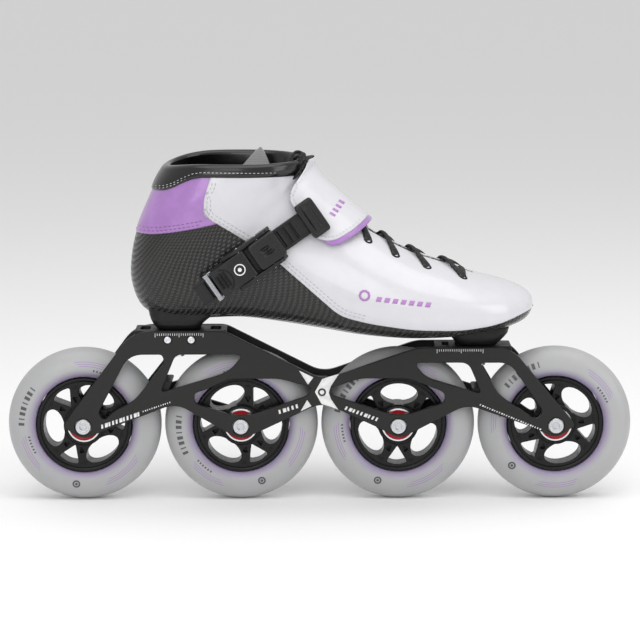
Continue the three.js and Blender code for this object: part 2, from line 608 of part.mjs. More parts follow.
skate.add(
  named('rail_lateral', rail(-1), blackAnodised()),
  named('rail_medial', rail(1), blackAnodised()),
  named('heel_bridge', heelBridge(), blackAnodised()),
  named('toe_deck', toeDeck(), blackAnodised()),
  named('web_rear', web(-PITCH, 67, 79, 1.8, 7), blackAnodised()),
  named('web_middle', web(0, 66.5, 79, 1.8, 6), blackAnodised()),
  named('web_front', web(PITCH, 65.5, 74, 1.6, 3.4), blackAnodised()),
  named('mount_bolt_heel', mountBolt(HEEL_BOLT_X, 101.2, 118), steel()),
  named('mount_bolt_toe', mountBolt(TOE_BOLT_X, 94.9, 108.4), steel()),
  named('washer_heel', ringZ(3.3, 7.5, 99.4, 100.9, HEEL_BOLT_X), steel()),
  named('washer_toe', ringZ(3.3, 7.5, 93.1, 94.6, TOE_BOLT_X), steel()),
  named('insert_heel', ringZ(3.3, 5.3, 112.6, 119, HEEL_BOLT_X), finish(0xa9a391, 0.4, 1)),
  named('insert_toe', ringZ(3.3, 5.3, 101.7, 108.9, TOE_BOLT_X), finish(0xa9a391, 0.4, 1)),
);
for (const [side, sign] of [['lateral', -1], ['medial', 1]]) {
  BRIDGE_SCREW_XS.forEach((x, i) => {
    skate.add(named(`bridge_screw_${side}_${i + 1}`, bridgeScrew(x, sign), steel()));
  });
}

const { collar, heelPanel, upper, lower } = bootPanels();
skate.add(
  named('carbon_shell', carbonShell(lower), carbon()),
  named('upper', upper, whitePatent()),
  named('heel_panel', heelPanel, lilacPatent()),
  named('collar', collar, blackPatent()),
  named('liner', liner(), finish(0x33302e, 0.9)),
  named('tongue', tongue(), finish(0x1a1a1b, 0.8)),
  named('insole', insole(), finish(0x3a3a3d, 0.9)),
  named('instep_strap', instepStrap(), whitePatent()),
  named('laces', laces(), finish(0x141415, 0.8)),
  named('pull_tab', pullTab(), finish(0xc9c8c6, 0.7)),
  buckle(),
);

export default skate;
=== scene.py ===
# %% [markdown]
# # An inline speed skate
#
# A right skate, toe towards +X and outer side towards -Y: a low carbon boot with a glossy white upper,
# a ratchet strap over the instep, and a long aluminium frame with four cast urethane wheels.
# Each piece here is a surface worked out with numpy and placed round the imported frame, which fixes
# every size and every joint. Lengths in this script are millimetres until a mesh is made.

# %% Frame, sizes and camera
import math

import bmesh
import bpy
import mathutils
import numpy as np
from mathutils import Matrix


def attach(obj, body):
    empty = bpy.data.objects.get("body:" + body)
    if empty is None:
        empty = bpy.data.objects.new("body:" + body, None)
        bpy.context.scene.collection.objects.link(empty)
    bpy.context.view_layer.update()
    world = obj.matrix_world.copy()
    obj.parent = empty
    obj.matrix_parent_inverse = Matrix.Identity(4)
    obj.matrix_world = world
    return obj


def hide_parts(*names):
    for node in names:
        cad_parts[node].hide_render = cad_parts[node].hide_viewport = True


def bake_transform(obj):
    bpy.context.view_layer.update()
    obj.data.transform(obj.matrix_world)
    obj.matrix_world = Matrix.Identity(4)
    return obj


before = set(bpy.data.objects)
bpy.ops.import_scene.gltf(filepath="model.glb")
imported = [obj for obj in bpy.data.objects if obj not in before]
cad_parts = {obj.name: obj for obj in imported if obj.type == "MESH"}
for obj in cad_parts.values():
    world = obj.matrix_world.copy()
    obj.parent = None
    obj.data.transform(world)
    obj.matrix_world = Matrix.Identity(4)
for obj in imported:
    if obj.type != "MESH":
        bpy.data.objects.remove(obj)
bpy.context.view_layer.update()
MM = 0.001
PITCH = 305 / 3
AXLE_XS = [-152.5 + i * PITCH for i in range(4)]
AXLE_Z = 49.7

camera_data = bpy.data.cameras.new("camera")
camera_data.sensor_width = 36
camera_data.lens = 152.03
camera = bpy.data.objects.new("camera", camera_data)
bpy.context.scene.collection.objects.link(camera)
camera.location = (0.0011, -1.734, 0.3581)
camera.rotation_euler = (math.radians(90 - 7.928), math.radians(0.156), 0)
bpy.context.scene.camera = camera

# %% [markdown]
# ## Small tools
#
# Everything below is built from a few surfaces: a grid of points (a function of two parameters), a
# profile turned about an axle, and a flat outline given a thickness. A grid keeps its quads in rows,
# so it can be closed on itself in either direction, and its corners carry a UV in millimetres where
# a cloth pattern has to follow the surface.

# %% Meshes from arrays
def outward(points, faces):
    """Turns the faces round if the closed volume that they enclose (sum of a . (b x c) / 6) is negative."""
    total = 0.0
    for k in range(1, faces.shape[1] - 1):
        a, b, c = points[faces[:, 0]], points[faces[:, k]], points[faces[:, k + 1]]
        total += np.einsum("ij,ij->i", a, np.cross(b, c)).sum()
    return faces if total >= 0 else faces[:, ::-1]


def piece(name, points, faces, material, body, nodes=(), uv=None, sharp=35):
    """One finished object from points (n x 3, millimetres) and faces (rows of point numbers)."""
    mesh = bpy.data.meshes.new(name)
    lists = [rows.tolist() for rows in faces] if isinstance(faces, (list, tuple)) else [faces.tolist()]
    mesh.from_pydata((np.asarray(points) * MM).tolist(), [], [f for rows in lists for f in rows])
    if uv is not None:
        corners = np.empty(len(mesh.loops), np.int32)
        mesh.loops.foreach_get("vertex_index", corners)
        layer = mesh.uv_layers.new(name="surface")
        layer.data.foreach_set("uv", (np.asarray(uv)[corners] * MM).astype(np.float32).ravel())
    mesh.shade_smooth()
    if sharp:
        mesh.set_sharp_from_angle(angle=math.radians(sharp))
    mesh.materials.append(material)
    made = bpy.data.objects.new(name, mesh)
    bpy.context.scene.collection.objects.link(made)
    if body:
        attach(made, body)
    if nodes:
        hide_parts(*nodes)
    return made


def modifier(made, kind, **settings):
    added = made.modifiers.new(kind.lower(), kind)
    for key, value in settings.items():
        setattr(added, key, value)
    return added


def flats_first(made, sharp=50):
    """Normals weighted by face area, so that flats stay flat and the narrow rims carry the turn."""
    made.data.set_sharp_from_angle(angle=math.radians(sharp))
    return modifier(made, "WEIGHTED_NORMAL", weight=50, keep_sharp=True)


def grid_faces(rows, cols, wrap_rows=False, wrap_cols=False):
    """Quads between neighbours of a rows x cols grid, which may close on itself either way."""
    i, j = np.meshgrid(np.arange(rows - (not wrap_rows)), np.arange(cols - (not wrap_cols)), indexing="ij")
    k, l = (i + 1) % rows, (j + 1) % cols
    return np.stack([i * cols + j, i * cols + l, k * cols + l, k * cols + j], -1).reshape(-1, 4)


def rounded(corners, per=6):
    """A closed outline through corners (a, b, cut): each corner is the parabola that leaves its two
    sides `cut` from it, (1-t)^2 P + 2t(1-t) V + t^2 Q."""
    table = np.array([(*c, 0.0)[:3] for c in corners], float)
    spot, cut = table[:, :2], table[:, 2:3]
    def leave(towards):
        way = towards - spot
        return spot + way / np.linalg.norm(way, axis=1, keepdims=True) * np.maximum(cut, 1e-4)
    before, after = leave(np.roll(spot, 1, 0)), leave(np.roll(spot, -1, 0))
    t = np.linspace(0, 1, per)[None, :, None]
    curve = (1 - t) ** 2 * before[:, None] + 2 * t * (1 - t) * spot[:, None] + t ** 2 * after[:, None]
    curve = curve.reshape(-1, 2)
    return curve[np.linalg.norm(curve - np.roll(curve, 1, 0), axis=1) > 0.002]


def circle(radius, count=48, x=0.0, z=0.0):
    a = np.linspace(0, 2 * np.pi, count, endpoint=False)
    return np.stack([x + radius * np.cos(a), z + radius * np.sin(a)], -1)


def turned(profile, segments=72, x=0.0, z=0.0):
    """A closed (radius, y) profile carried round the Y axis through (x, z)."""
    profile = np.asarray(profile, float)
    a = np.linspace(0, 2 * np.pi, segments, endpoint=False)[:, None]
    r, y = profile[None, :, 0], profile[None, :, 1]
    points = np.stack([x + r * np.cos(a), y + 0 * a, z + r * np.sin(a)], -1).reshape(-1, 3)
    return points, outward(points, grid_faces(segments, len(profile), True, True))


def cap_triangles(outlines):
    flat = [[mathutils.Vector((a, b, 0)) for a, b in line] for line in outlines]
    return np.array(mathutils.geometry.tessellate_polygon(flat), int)


def eased(line, width, hole):
    """The outline moved into the material by width: each corner goes along the mitre of its two sides."""
    ahead = np.roll(line, -1, 0) - line
    ahead /= np.maximum(np.linalg.norm(ahead, axis=1, keepdims=True), 1e-9)
    left = np.stack([-ahead[:, 1], ahead[:, 0]], -1)
    before = np.roll(left, 1, 0)
    mitre = (left + before) / np.maximum(1 + np.einsum("ij,ij->i", left, before), 0.4)[:, None]
    following = np.roll(line, -1, 0)
    area = np.sum(line[:, 0] * following[:, 1] - following[:, 0] * line[:, 1])
    return line + mitre * width * np.sign(area) * (-1 if hole else 1)


def plate(outline, low, high, holes=(), edge=0.0):
    """An (x, z) outline with holes, carried along Y from low to high. With an edge, its rims turn in on a
    quarter circle of that radius; the two faces are triangles between the eased outlines."""
    lines = [np.asarray(line, float) for line in (outline, *holes)]
    rim = 1 - math.sqrt(0.5)
    rows = [(low, 0), (high, 0)]
    if edge:
        turn_in, edge_out = rim * edge, 1
        rows = [(low, edge_out), (low + turn_in, rim), (low + edge, 0),
                (high - edge, 0), (high - turn_in, rim), (high, edge_out)]
    rings = [[eased(line, width * edge, k > 0) for k, line in enumerate(lines)] for _, width in rows]
    points = np.concatenate([np.insert(np.concatenate(ring), 1, level, axis=1)
                             for ring, (level, _) in zip(rings, rows)])
    flat = np.concatenate(rings[0])
    count = len(flat)
    caps = cap_triangles(rings[0])
    a, b, c = (flat[caps[:, k]] for k in range(3))
    turn = (b[:, 0] - a[:, 0]) * (c[:, 1] - a[:, 1]) - (b[:, 1] - a[:, 1]) * (c[:, 0] - a[:, 0])
    caps = np.where(turn[:, None] > 0, caps, caps[:, ::-1])[np.abs(turn) > 1e-9]
    faces, first = [caps, caps[:, ::-1] + count * (len(rows) - 1)], 0
    for k, line in enumerate(lines):
        i = np.arange(len(line))
        j = (i + 1) % len(line)
        area = np.sum(line[i, 0] * line[j, 1] - line[j, 0] * line[i, 1])
        for level in range(len(rows) - 1):
            quads = np.stack([i, j, j + count, i + count], -1) + first + count * level
            faces.append(quads if (area > 0) == (k == 0) else quads[:, ::-1])
        first += len(line)
    return points, faces


def joined(parts):
    """Several (points, faces) shapes as one."""
    points, faces, first = [], [], 0
    for spots, rows in parts:
        rows = rows if isinstance(rows, list) else [rows]
        points.append(spots)
        faces.extend(r + first for r in rows)
        first += len(spots)
    return np.concatenate(points), faces


square = rounded([(0, 0, 1), (9, 0, 1), (9, 9, 1), (0, 9, 1)])
print("tools ready; a rounded square has", len(square), "points")

# %% [markdown]
# ## Finishes
#
# A finish is what light meets: base colour, gloss, and the small unevenness that a made surface has.
# Fine unevenness turns up in many finishes and the twill in the cloth, so both are node groups with
# their own sizes. The Principled shader itself stays in each material.

# %% Node helpers and shared groups
class Nodes:
    """Short calls for one node tree: add a node, set its sockets by name, link what is an output."""

    def __init__(self, tree):
        self.tree = tree

    def add(self, kind, props=None, **sockets):
        """Adds a node: props are its attributes; i0=, i1= or Some_Name= set inputs by place or name."""
        node = self.tree.nodes.new(kind)
        for key, value in (props or {}).items():
            setattr(node, key, value)
        for key, value in sockets.items():
            by_place = key.startswith("i") and key[1:].isdigit()
            self.put(node.inputs[int(key[1:]) if by_place else key.replace("_", " ")], value)
        return node

    def put(self, socket, value):
        if isinstance(value, bpy.types.NodeSocket):
            self.tree.links.new(value, socket)
        else:
            socket.default_value = value

    def math(self, operation, a, b=0.0, c=0.0):
        return self.add("ShaderNodeMath", {"operation": operation}, i0=a, i1=b, i2=c).outputs[0]

    def mix(self, factor, a, b):
        node = self.add("ShaderNodeMix", {"data_type": "RGBA"})
        self.put(node.inputs[0], factor)
        self.put(node.inputs[6], a)
        self.put(node.inputs[7], b)
        return node.outputs[2]

    def smooth(self, value, low, high, to_low=0.0, to_high=1.0):
        node = self.add("ShaderNodeMapRange", {"interpolation_type": "SMOOTHSTEP"})
        for k, v in enumerate((value, low, high, to_low, to_high)):
            self.put(node.inputs[k], v)
        return node.outputs[0]

    def noise(self, vector, scale, detail=3.0, rough=0.5):
        return self.add("ShaderNodeTexNoise", None, Vector=vector, Scale=scale, Detail=detail,
                        Roughness=rough).outputs[0]

    def xyz(self, vector):
        return self.add("ShaderNodeSeparateXYZ", None, Vector=vector).outputs


def group(name, ins, outs):
    """A new node group with float or vector sockets, and its helper."""
    tree = bpy.data.node_groups.new(name, "ShaderNodeTree")
    for label, kind, start in ins:
        socket = tree.interface.new_socket(label, in_out="INPUT", socket_type=kind)
        if start is not None:
            socket.default_value = start
    for label, kind in outs:
        tree.interface.new_socket(label, in_out="OUTPUT", socket_type=kind)
    helper = Nodes(tree)
    return tree, helper, helper.add("NodeGroupInput").outputs, helper.add("NodeGroupOutput")


FLOAT, VECTOR = "NodeSocketFloat", "NodeSocketVector"

uneven, g, given, result = group("unevenness", [("Vector", VECTOR, None), ("Size", FLOAT, 400.0),
                                                ("Low", FLOAT, 0.2), ("High", FLOAT, 0.4)],
                                 [("Value", FLOAT), ("Height", FLOAT)])
broad = g.noise(given["Vector"], given["Size"], 4.0)
g.put(result.inputs["Value"], g.smooth(broad, 0.3, 0.7, given["Low"], given["High"]))
g.put(result.inputs["Height"], g.noise(given["Vector"], g.math("MULTIPLY", given["Size"], 6.0), 2.0))

twill, g, given, result = group("twill_weave", [("Vector", VECTOR, None), ("Tow", FLOAT, 0.0016)],
                                [("Over", FLOAT), ("Height", FLOAT)])
across, along, _ = g.xyz(g.add("ShaderNodeVectorMath", {"operation": "DIVIDE"}, i0=given["Vector"],
                               i1=g.add("ShaderNodeCombineXYZ", None, X=given["Tow"], Y=given["Tow"],
                                        Z=given["Tow"]).outputs[0]).outputs[0])
step = g.math("FLOORED_MODULO", g.math("ADD", g.math("FLOOR", across), g.math("FLOOR", along)), 4.0)
over = g.math("LESS_THAN", step, 1.5)
crown_across = g.math("ABSOLUTE", g.math("SUBTRACT", g.math("FRACT", across), 0.5))
crown_along = g.math("ABSOLUTE", g.math("SUBTRACT", g.math("FRACT", along), 0.5))
crown = g.math("ADD", g.math("MULTIPLY", over, crown_across),
               g.math("MULTIPLY", g.math("SUBTRACT", 1.0, over), crown_along))
g.put(result.inputs["Over"], over)
fall = g.math("MULTIPLY", g.math("MULTIPLY", crown, crown), 4.0)
g.put(result.inputs["Height"], g.math("SUBTRACT", 1.0, fall))


def use(nodes, tree, **sockets):
    return nodes.add("ShaderNodeGroup", {"node_tree": tree}, **sockets).outputs


def new_material(name):
    """A material with a Principled shader, and its object coordinates and UV ready to use."""
    material = bpy.data.materials.new(name)
    material.use_nodes = True
    nodes = Nodes(material.node_tree)
    shader = material.node_tree.nodes["Principled BSDF"]
    coords = nodes.add("ShaderNodeTexCoord").outputs
    return material, nodes, shader, coords


def bump(nodes, shader, height, strength, distance):
    normal = nodes.add("ShaderNodeBump", None, Strength=strength, Distance=distance, Height=height).outputs[0]
    nodes.put(shader.inputs["Normal"], normal)


def plain(name, color, low, high, size=400.0, metallic=0.0, bump_mm=0.02, **fixed):
    """A finish whose gloss runs between low and high in broad patches, with a fine surface grain."""
    material, nodes, shader, coords = new_material(name)
    patch = use(nodes, uneven, Vector=coords["Object"], Size=size, Low=low, High=high)
    base = nodes.mix(nodes.smooth(patch["Height"], 0.2, 0.8), (*[c * 0.88 for c in color], 1),
                     (*[min(1, c * 1.1) for c in color], 1))
    nodes.put(shader.inputs["Base Color"], base)
    nodes.put(shader.inputs["Roughness"], patch["Value"])
    shader.inputs["Metallic"].default_value = metallic
    for key, value in fixed.items():
        shader.inputs[key.replace("_", " ")].default_value = value
    bump(nodes, shader, patch["Height"], 1.0, bump_mm * MM)
    return material


anodised = plain("black_anodised", (0.018, 0.0175, 0.017), 0.4, 0.5, 250, 0.0, 0.008, Specular_IOR_Level=0.25)
nylon = plain("hub_nylon", (0.003, 0.003, 0.003), 0.24, 0.4, 500, 0.0, 0.02, Specular_IOR_Level=0.3)
moulded = plain("moulded_nylon", (0.009, 0.009, 0.0095), 0.26, 0.42, 900, 0.0, 0.02, Specular_IOR_Level=0.4)
block_resin = plain("block_resin", (0.008, 0.0078, 0.0075), 0.4, 0.6, 300, 0.0, 0.03, Specular_IOR_Level=0.3)
bright_steel = plain("plated_steel", (0.72, 0.73, 0.75), 0.16, 0.3, 900, 1.0, 0.006)
turned_aluminium = plain("turned_aluminium", (0.6, 0.61, 0.63), 0.25, 0.4, 900, 1.0, 0.01)
brass = plain("insert_brass", (0.6, 0.5, 0.3), 0.25, 0.4, 900, 1.0, 0.01)
red_shield = plain("red_bearing_shield", (0.42, 0.01, 0.015), 0.25, 0.4, 900, 0.0, 0.01)
keeper_steel = plain("keeper_steel", (0.42, 0.43, 0.45), 0.2, 0.32, 900, 0.9, 0.01)
print("plain finishes made:", len(bpy.data.materials))

# %% [markdown]
# ## Wheels
#
# A wheel is a ring of cast urethane gripped by a moulded hub. The tyre is a turned shape: its side
# walls leave the hub nearly flat and then roll over to the tread on a superellipse, |r|^n + |y|^n = 1.
# A point attribute keeps each point's place about its own axle, so that one material can draw rings
# and arcs on all four tyres and still turn with them.

# %% Urethane tyre material
def wheel_place(made, x, turn=0.0):
    """Stores (across, y, up) of each point about the axle, in metres, turned back to the wheel's start."""
    mesh = made.data
    spots = np.empty(len(mesh.vertices) * 3, np.float32)
    mesh.vertices.foreach_get("co", spots)
    spots = spots.reshape(-1, 3) - np.array([x * MM, 0, AXLE_Z * MM], np.float32)
    c, s = math.cos(math.radians(turn)), math.sin(math.radians(turn))
    spots = np.stack([spots[:, 0] * c + spots[:, 2] * s, spots[:, 1], spots[:, 2] * c - spots[:, 0] * s], -1)
    layer = mesh.attributes.new("wheel", "FLOAT_VECTOR", "POINT")
    layer.data.foreach_set("vector", spots.astype(np.float32).ravel())


def band(nodes, value, middle, half, soft=0.00008):
    """1 where the value lies within half of the middle."""
    away = nodes.math("ABSOLUTE", nodes.math("SUBTRACT", value, middle))
    return nodes.smooth(away, half + soft, half - soft)


def urethane():
    """Milky plastic: part of the light passes through, and the tread band is scuffed rougher and darker."""
    material, nodes, shader, coords = new_material("cast_urethane")
    spot = nodes.add("ShaderNodeAttribute", {"attribute_name": "wheel"}).outputs["Vector"]
    x, y, z = nodes.xyz(spot)
    radius = nodes.math("SQRT", nodes.math("ADD", nodes.math("MULTIPLY", x, x), nodes.math("MULTIPLY", z, z)))
    angle = nodes.math("MULTIPLY", nodes.math("ARCTAN2", z, x), 180 / math.pi)
    patch = use(nodes, uneven, Vector=spot, Size=120.0, Low=0.3, High=0.42)
    cloud = nodes.mix(nodes.noise(spot, 45.0, 4.0), (0.36, 0.365, 0.37, 1), (0.42, 0.42, 0.425, 1))
    tint = nodes.smooth(radius, 0.0378, 0.0312)
    color = nodes.mix(nodes.math("MULTIPLY", tint, 0.75), cloud, (0.27, 0.2, 0.37, 1))
    def arc(middle, half, angles):
        ring = band(nodes, radius, middle, half)
        spans = [band(nodes, angle, at, width, 0.3) for at, width in angles]
        total = spans[0]
        for span in spans[1:]:
            total = nodes.math("MAXIMUM", total, span)
        return nodes.math("MULTIPLY", ring, total)
    lines = None
    for k, middle in enumerate((0.0387, 0.0401, 0.0415)):
        one = arc(middle, 0.00014, [(-154 + 2 * k, 16), (-48 - 2 * k, 18), (78 + 2 * k, 16)])
        lines = one if lines is None else nodes.math("MAXIMUM", lines, one)
    color = nodes.mix(nodes.math("MULTIPLY", lines, 0.95), color, (0.3, 0.12, 0.45, 1))
    marks = arc(0.0404, 0.0019, [(144 + 5 * k, 1.5 if k % 3 else 0.6) for k in range(8)])
    marks = nodes.math("MAXIMUM", marks, arc(0.0363, 0.0007, [(-168 + 3.4 * k, 0.8) for k in range(6)]))
    marks = nodes.math("MAXIMUM", marks, arc(0.0363, 0.0007, [(62 + 3.4 * k, 0.8) for k in range(6)]))
    dot = nodes.add("ShaderNodeVectorMath", {"operation": "DISTANCE"}, i0=nodes.add(
        "ShaderNodeCombineXYZ", None, X=x, Z=z).outputs[0], i1=(-0.0054, 0, -0.0385)).outputs["Value"]
    marks = nodes.math("MAXIMUM", marks, nodes.math("SUBTRACT", nodes.smooth(dot, 0.0026, 0.0025),
                                                    band(nodes, dot, 0.0012, 0.00025)))
    color = nodes.mix(nodes.math("MULTIPLY", marks, 0.88), color, (0.03, 0.03, 0.035, 1))
    tread = nodes.smooth(radius, 0.0487, 0.0496)
    color = nodes.mix(nodes.math("MULTIPLY", tread, 0.35), color, (0.4, 0.4, 0.39, 1))
    nodes.put(shader.inputs["Base Color"], color)
    rough = nodes.math("ADD", patch["Value"], nodes.math("MULTIPLY", tread, 0.25))
    nodes.put(shader.inputs["Roughness"], rough)
    shader.inputs["Subsurface Weight"].default_value = 0.15
    shader.inputs["Subsurface Scale"].default_value = 0.004
    bump(nodes, shader, patch["Height"], 1.0, 0.00002)
    return material


urethane_finish = urethane()

# %% Tyres
TYRE = {"inner": 31.3, "lip": 8.5, "shoulder": 35.0, "half": 12.0, "radius": 49.7, "power": 2.15}


def tyre_profile(count=15):
    """(r, y) of one tyre: a flat seat, a flank out to the shoulder, then a superellipse to the tread."""
    t = np.linspace(0, np.pi / 2, count)
    r = TYRE["shoulder"] + (TYRE["radius"] - TYRE["shoulder"]) * np.sin(t) ** (2 / TYRE["power"])
    y = TYRE["half"] * np.cos(t) ** (2 / TYRE["power"])
    flank = rounded([(29.6, 6.9), (31.3, 8.5, 0.5), (33.4, 11.6, 1.6), (36, 12.1)], 5)[4:-5]
    side = np.concatenate([[(TYRE["inner"], TYRE["lip"] - 0.6)], flank[flank[:, 0] < 34.9],
                           np.stack([r, y], -1)])
    return np.concatenate([side, (side * [1, -1])[::-1][1:]])


for i, x in enumerate(AXLE_XS, 1):
    points, faces = turned(tyre_profile(), 144, x, AXLE_Z)
    tyre = piece(f"urethane_tyre_{i}", points, faces, urethane_finish, f"wheel_{i}", [f"tyre_{i}"], sharp=60)
    wheel_place(tyre, x, (0, 28, -12, -38)[i - 1])
print("tyre diameter and width (mm):", 2 * TYRE["radius"], 2 * TYRE["half"])

# %% [markdown]
# The hub is moulded in one piece round the bearings: three lens-shaped windows and three wedges leave
# six spokes in pairs, each with a deep pocket near the bearing and a small raised step near the rim.
# It is built as flat plates, because every wall of the real one runs straight across the wheel: a core
# with the six windows, and two outer layers with the pockets cut as well.

# %% Hubs
WHEEL_TURNS = (66, 117, 88, 45)


def polar(radius, degrees):
    return radius * math.cos(math.radians(degrees)), radius * math.sin(math.radians(degrees))


def window_outlines(turn, x):
    """The lens windows (ellipses across the radius) and the wedges between them, about one axle."""
    a = np.linspace(0, 2 * np.pi, 40, endpoint=False)
    found, pockets, steps = [], [], []
    for k in range(3):
        way = math.radians(turn + 120 * k)
        out, side = np.array([math.cos(way), math.sin(way)]), np.array([-math.sin(way), math.cos(way)])
        lens = 19.7 + 6.8 * np.cos(a)
        found.append(lens[:, None] * out + (12.1 * np.sin(a))[:, None] * side)
        middle = turn + 120 * k + 60
        wedge = [(14.4, 0, 0.9), (26.0, -15.5, 2.2), (26.9, 0, 3), (26.0, 15.5, 2.2)]
        found.append(rounded([(*polar(r, middle + off), cut) for r, off, cut in wedge]))
        for sign in (-1, 1):
            pocket = [(14.9, 15.5, 0.6), (19.2, 14.5, 0.8), (17.9, 24.5, 0.9)]
            pockets.append(rounded([(*polar(r, middle + sign * off), cut) for r, off, cut in pocket]))
            step = [(24.6, 19), (25.9, 19.4), (25.9, 26), (24.6, 26.4)]
            steps.append(rounded([(*polar(r, middle + sign * off), 0.3) for r, off in step], 3))
    return [[line + (x, AXLE_Z) for line in lines] for lines in (found, pockets, steps)]


for i, (x, turn) in enumerate(zip(AXLE_XS, WHEEL_TURNS), 1):
    windows, pockets, steps = window_outlines(turn, x)
    disc = circle(28.6, 96, x, AXLE_Z)
    parts = [plate(disc, -4.6, 4.6, windows)]
    for low, high in ((-8.6, -4.6), (4.6, 8.6)):
        parts.append(plate(disc, low, high, windows + pockets, 0.4))
    for step in steps:
        parts.extend([plate(step, -9.2, -8.2, (), 0.25), plate(step, 8.2, 9.2, (), 0.25)])
    points, faces = joined(parts)
    web = piece(f"hub_web_{i}", points, faces, nylon, f"wheel_{i}", sharp=0)
    flats_first(web)
    rim = [(28.2, -8.2), (28.6, -9.4), (29.4, -9.8), (30.4, -9.7), (31.0, -8.9), (31.0, 8.9), (30.4, 9.7),
           (29.4, 9.8), (28.6, 9.4), (28.2, 8.2)]
    house = [(11.05, -11.6), (11.5, -12.0), (12.3, -12.0), (13.1, -11.2), (13.3, -8), (13.3, 8), (13.1, 11.2),
             (12.3, 12.0), (11.5, 12.0), (11.05, 11.6), (11.05, 5), (9.9, 4.6), (9.9, -4.6), (11.05, -5)]
    points, faces = joined([turned(rim, 96, x, AXLE_Z), turned(house, 64, x, AXLE_Z)])
    ring = piece(f"hub_rings_{i}", points, faces, nylon, f"wheel_{i}", [f"hub_{i}"], sharp=30)
print("hub windows and pockets:", len(windows), len(pockets))

# %% [markdown]
# Each bearing is a steel outer ring, a red pressed shield and a steel inner ring; the axle is a long
# screw with a broad flat head, turned on a lathe and so marked with fine rings.

# %% Bearings and axles
for i, x in enumerate(AXLE_XS, 1):
    for side, sign in (("lateral", -1), ("medial", 1)):
        def across(profile, flip=sign):
            return [(r, flip * y) for r, y in profile]
        outer = [(9.7, 5.2), (11, 5.2), (11, 11.6), (10.7, 11.9), (9.8, 11.9), (9.6, 11.6)]
        inner = [(4.1, 5.2), (5.8, 5.2), (5.8, 11.7), (5.6, 11.9), (4.3, 11.9), (4.1, 11.7)]
        points, faces = joined([turned(across(outer), 64, x, AXLE_Z), turned(across(inner), 48, x, AXLE_Z)])
        piece(f"bearing_rings_{side}_{i}", points, faces, bright_steel, f"wheel_{i}", [f"bearing_{i}_{side}"])
        shield = [(5.75, 5.6), (9.75, 5.6), (9.75, 11.5), (9.3, 11.6), (8.6, 11.3), (6.6, 11.3), (5.75, 11.5)]
        points, faces = turned(across(shield), 64, x, AXLE_Z)
        piece(f"bearing_shield_{side}_{i}", points, faces, red_shield, f"wheel_{i}")
    head = [(0.001, -16.3), (2.2, -16.3), (2.35, -18.4), (2.5, -18.55), (3.3, -18.6), (3.45, -18.5),
            (3.6, -18.6), (4.6, -18.6), (5.0, -18.1), (5.0, -16.2), (4.0, -15.9), (4.0, 17.2),
            (3.6, 17.6), (0.001, 17.6)]
    points, faces = turned(head, 48, x, AXLE_Z)
    piece(f"axle_screw_{i}", points, faces, turned_aluminium, "skate", [f"axle_{i}"], sharp=25)
print("bearings and axles: 8 and 4")

# %% [markdown]
# ## Frame
#
# The frame's two side plates are cut from flat aluminium, so each is one outline with windows, given
# its 4 mm and then a small rounded edge, the way a cutter and a tumbling drum leave it. A Bevel
# modifier could round the edge, but it breaks the big flats into slivers; here the rim is part of the
# plate, and normals weighted by area keep the flats flat while the narrow round catches the light.

# %% Side plates
RAIL = [(-165.3, 49.8, 2), (-161.2, 56.8, 3), (-119.9, 112, 12), (-61, 112, 4), (2.2, 80.1, 9), (63, 101, 5),
        (123, 101, 10), (163.4, 52.4, 1.3), (164.4, 49.6, 1.3), (152.5, 41.3, 6), (136.5, 49.3, 3),
        (95, 63.8, 8), (62, 46.8, 3), (50.83, 41.3, 6), (40.5, 47.6, 3), (2, 65.6, 9),
        (-38.5, 46.6, 3), (-50.83, 41.3, 6), (-62.5, 47.6, 3),
        (-92.5, 65.2, 9), (-140, 47, 3), (-152.5, 41.3, 6)]
WINDOWS = [
    [(-122.5, 96.8, 9), (-100.9, 96.8, 2.5), (-99.8, 91.3, 2.5), (-119.5, 66.4, 6), (-132, 60.3, 4),
     (-138.9, 53.8, 2.8), (-142.9, 58.3, 2.8)],
    [(-92.4, 96.8, 4), (-49, 96.8, 5), (-58, 85.2, 8), (-102.6, 71.9, 4)],
    [(-80.5, 71.6, 2), (-72, 74.4, 4), (-58, 81, 5), (-25.5, 81, 5), (-5, 75.3, 3), (-7.5, 69.8, 2.5),
     (-45, 57.2, 6), (-56, 57.2, 5), (-80.5, 64.8, 3)],
    [(6.5, 74.3, 2), (25.5, 81, 5), (57.5, 81, 5), (80.5, 71.8, 3), (80.8, 65.2, 3), (56.5, 57.3, 5),
     (47, 57.3, 4), (7.5, 70.3, 2)],
    [(61.2, 91.1, 4), (95.8, 91.1, 5), (104.4, 70.6, 4), (67.5, 81.8, 6)],
    [(103.3, 91, 3), (122.3, 91, 7), (144.3, 59.2, 3.5), (139.8, 53.3, 3.5), (115.5, 70, 5)],
]
SCREWS = [(-97.4, 106.4), (-82.3, 106.4)]
for side, sign in (("lateral", -1), ("medial", 1)):
    holes = [rounded(line, 9) for line in WINDOWS]
    seats = [circle(5.35 if side == "lateral" else 4.3, 40, x, AXLE_Z) for x in AXLE_XS]
    seats += [circle(2.7, 28, x, z) for x, z in SCREWS]
    low, high = sorted((sign * 14, sign * 18))
    points, faces = plate(rounded(RAIL, 9), low, high, holes + seats, 0.5)
    flats_first(piece(f"rail_plate_{side}", points, faces, anodised, "skate", [f"rail_{side}"], sharp=0))
    low, high = sorted((sign * 12.25, sign * 14.1))
    rings = [turned([(4.3, low), (6.2, low), (6.2, high), (4.3, high)], 36, x, AXLE_Z) for x in AXLE_XS]
    points, faces = joined(rings)
    piece(f"rail_bosses_{side}", points, faces, turned_aluminium, "skate")
print("side plates: outline corners", len(RAIL), "windows", len(WINDOWS))

# %% [markdown]
# Between the plates stand the parts that tie them: a heel bridge and a toe deck with slots for the
# mounting bolts, and three webs in the gaps between the wheels. The decks are plates seen from above,
# so the same tool makes them lying down.

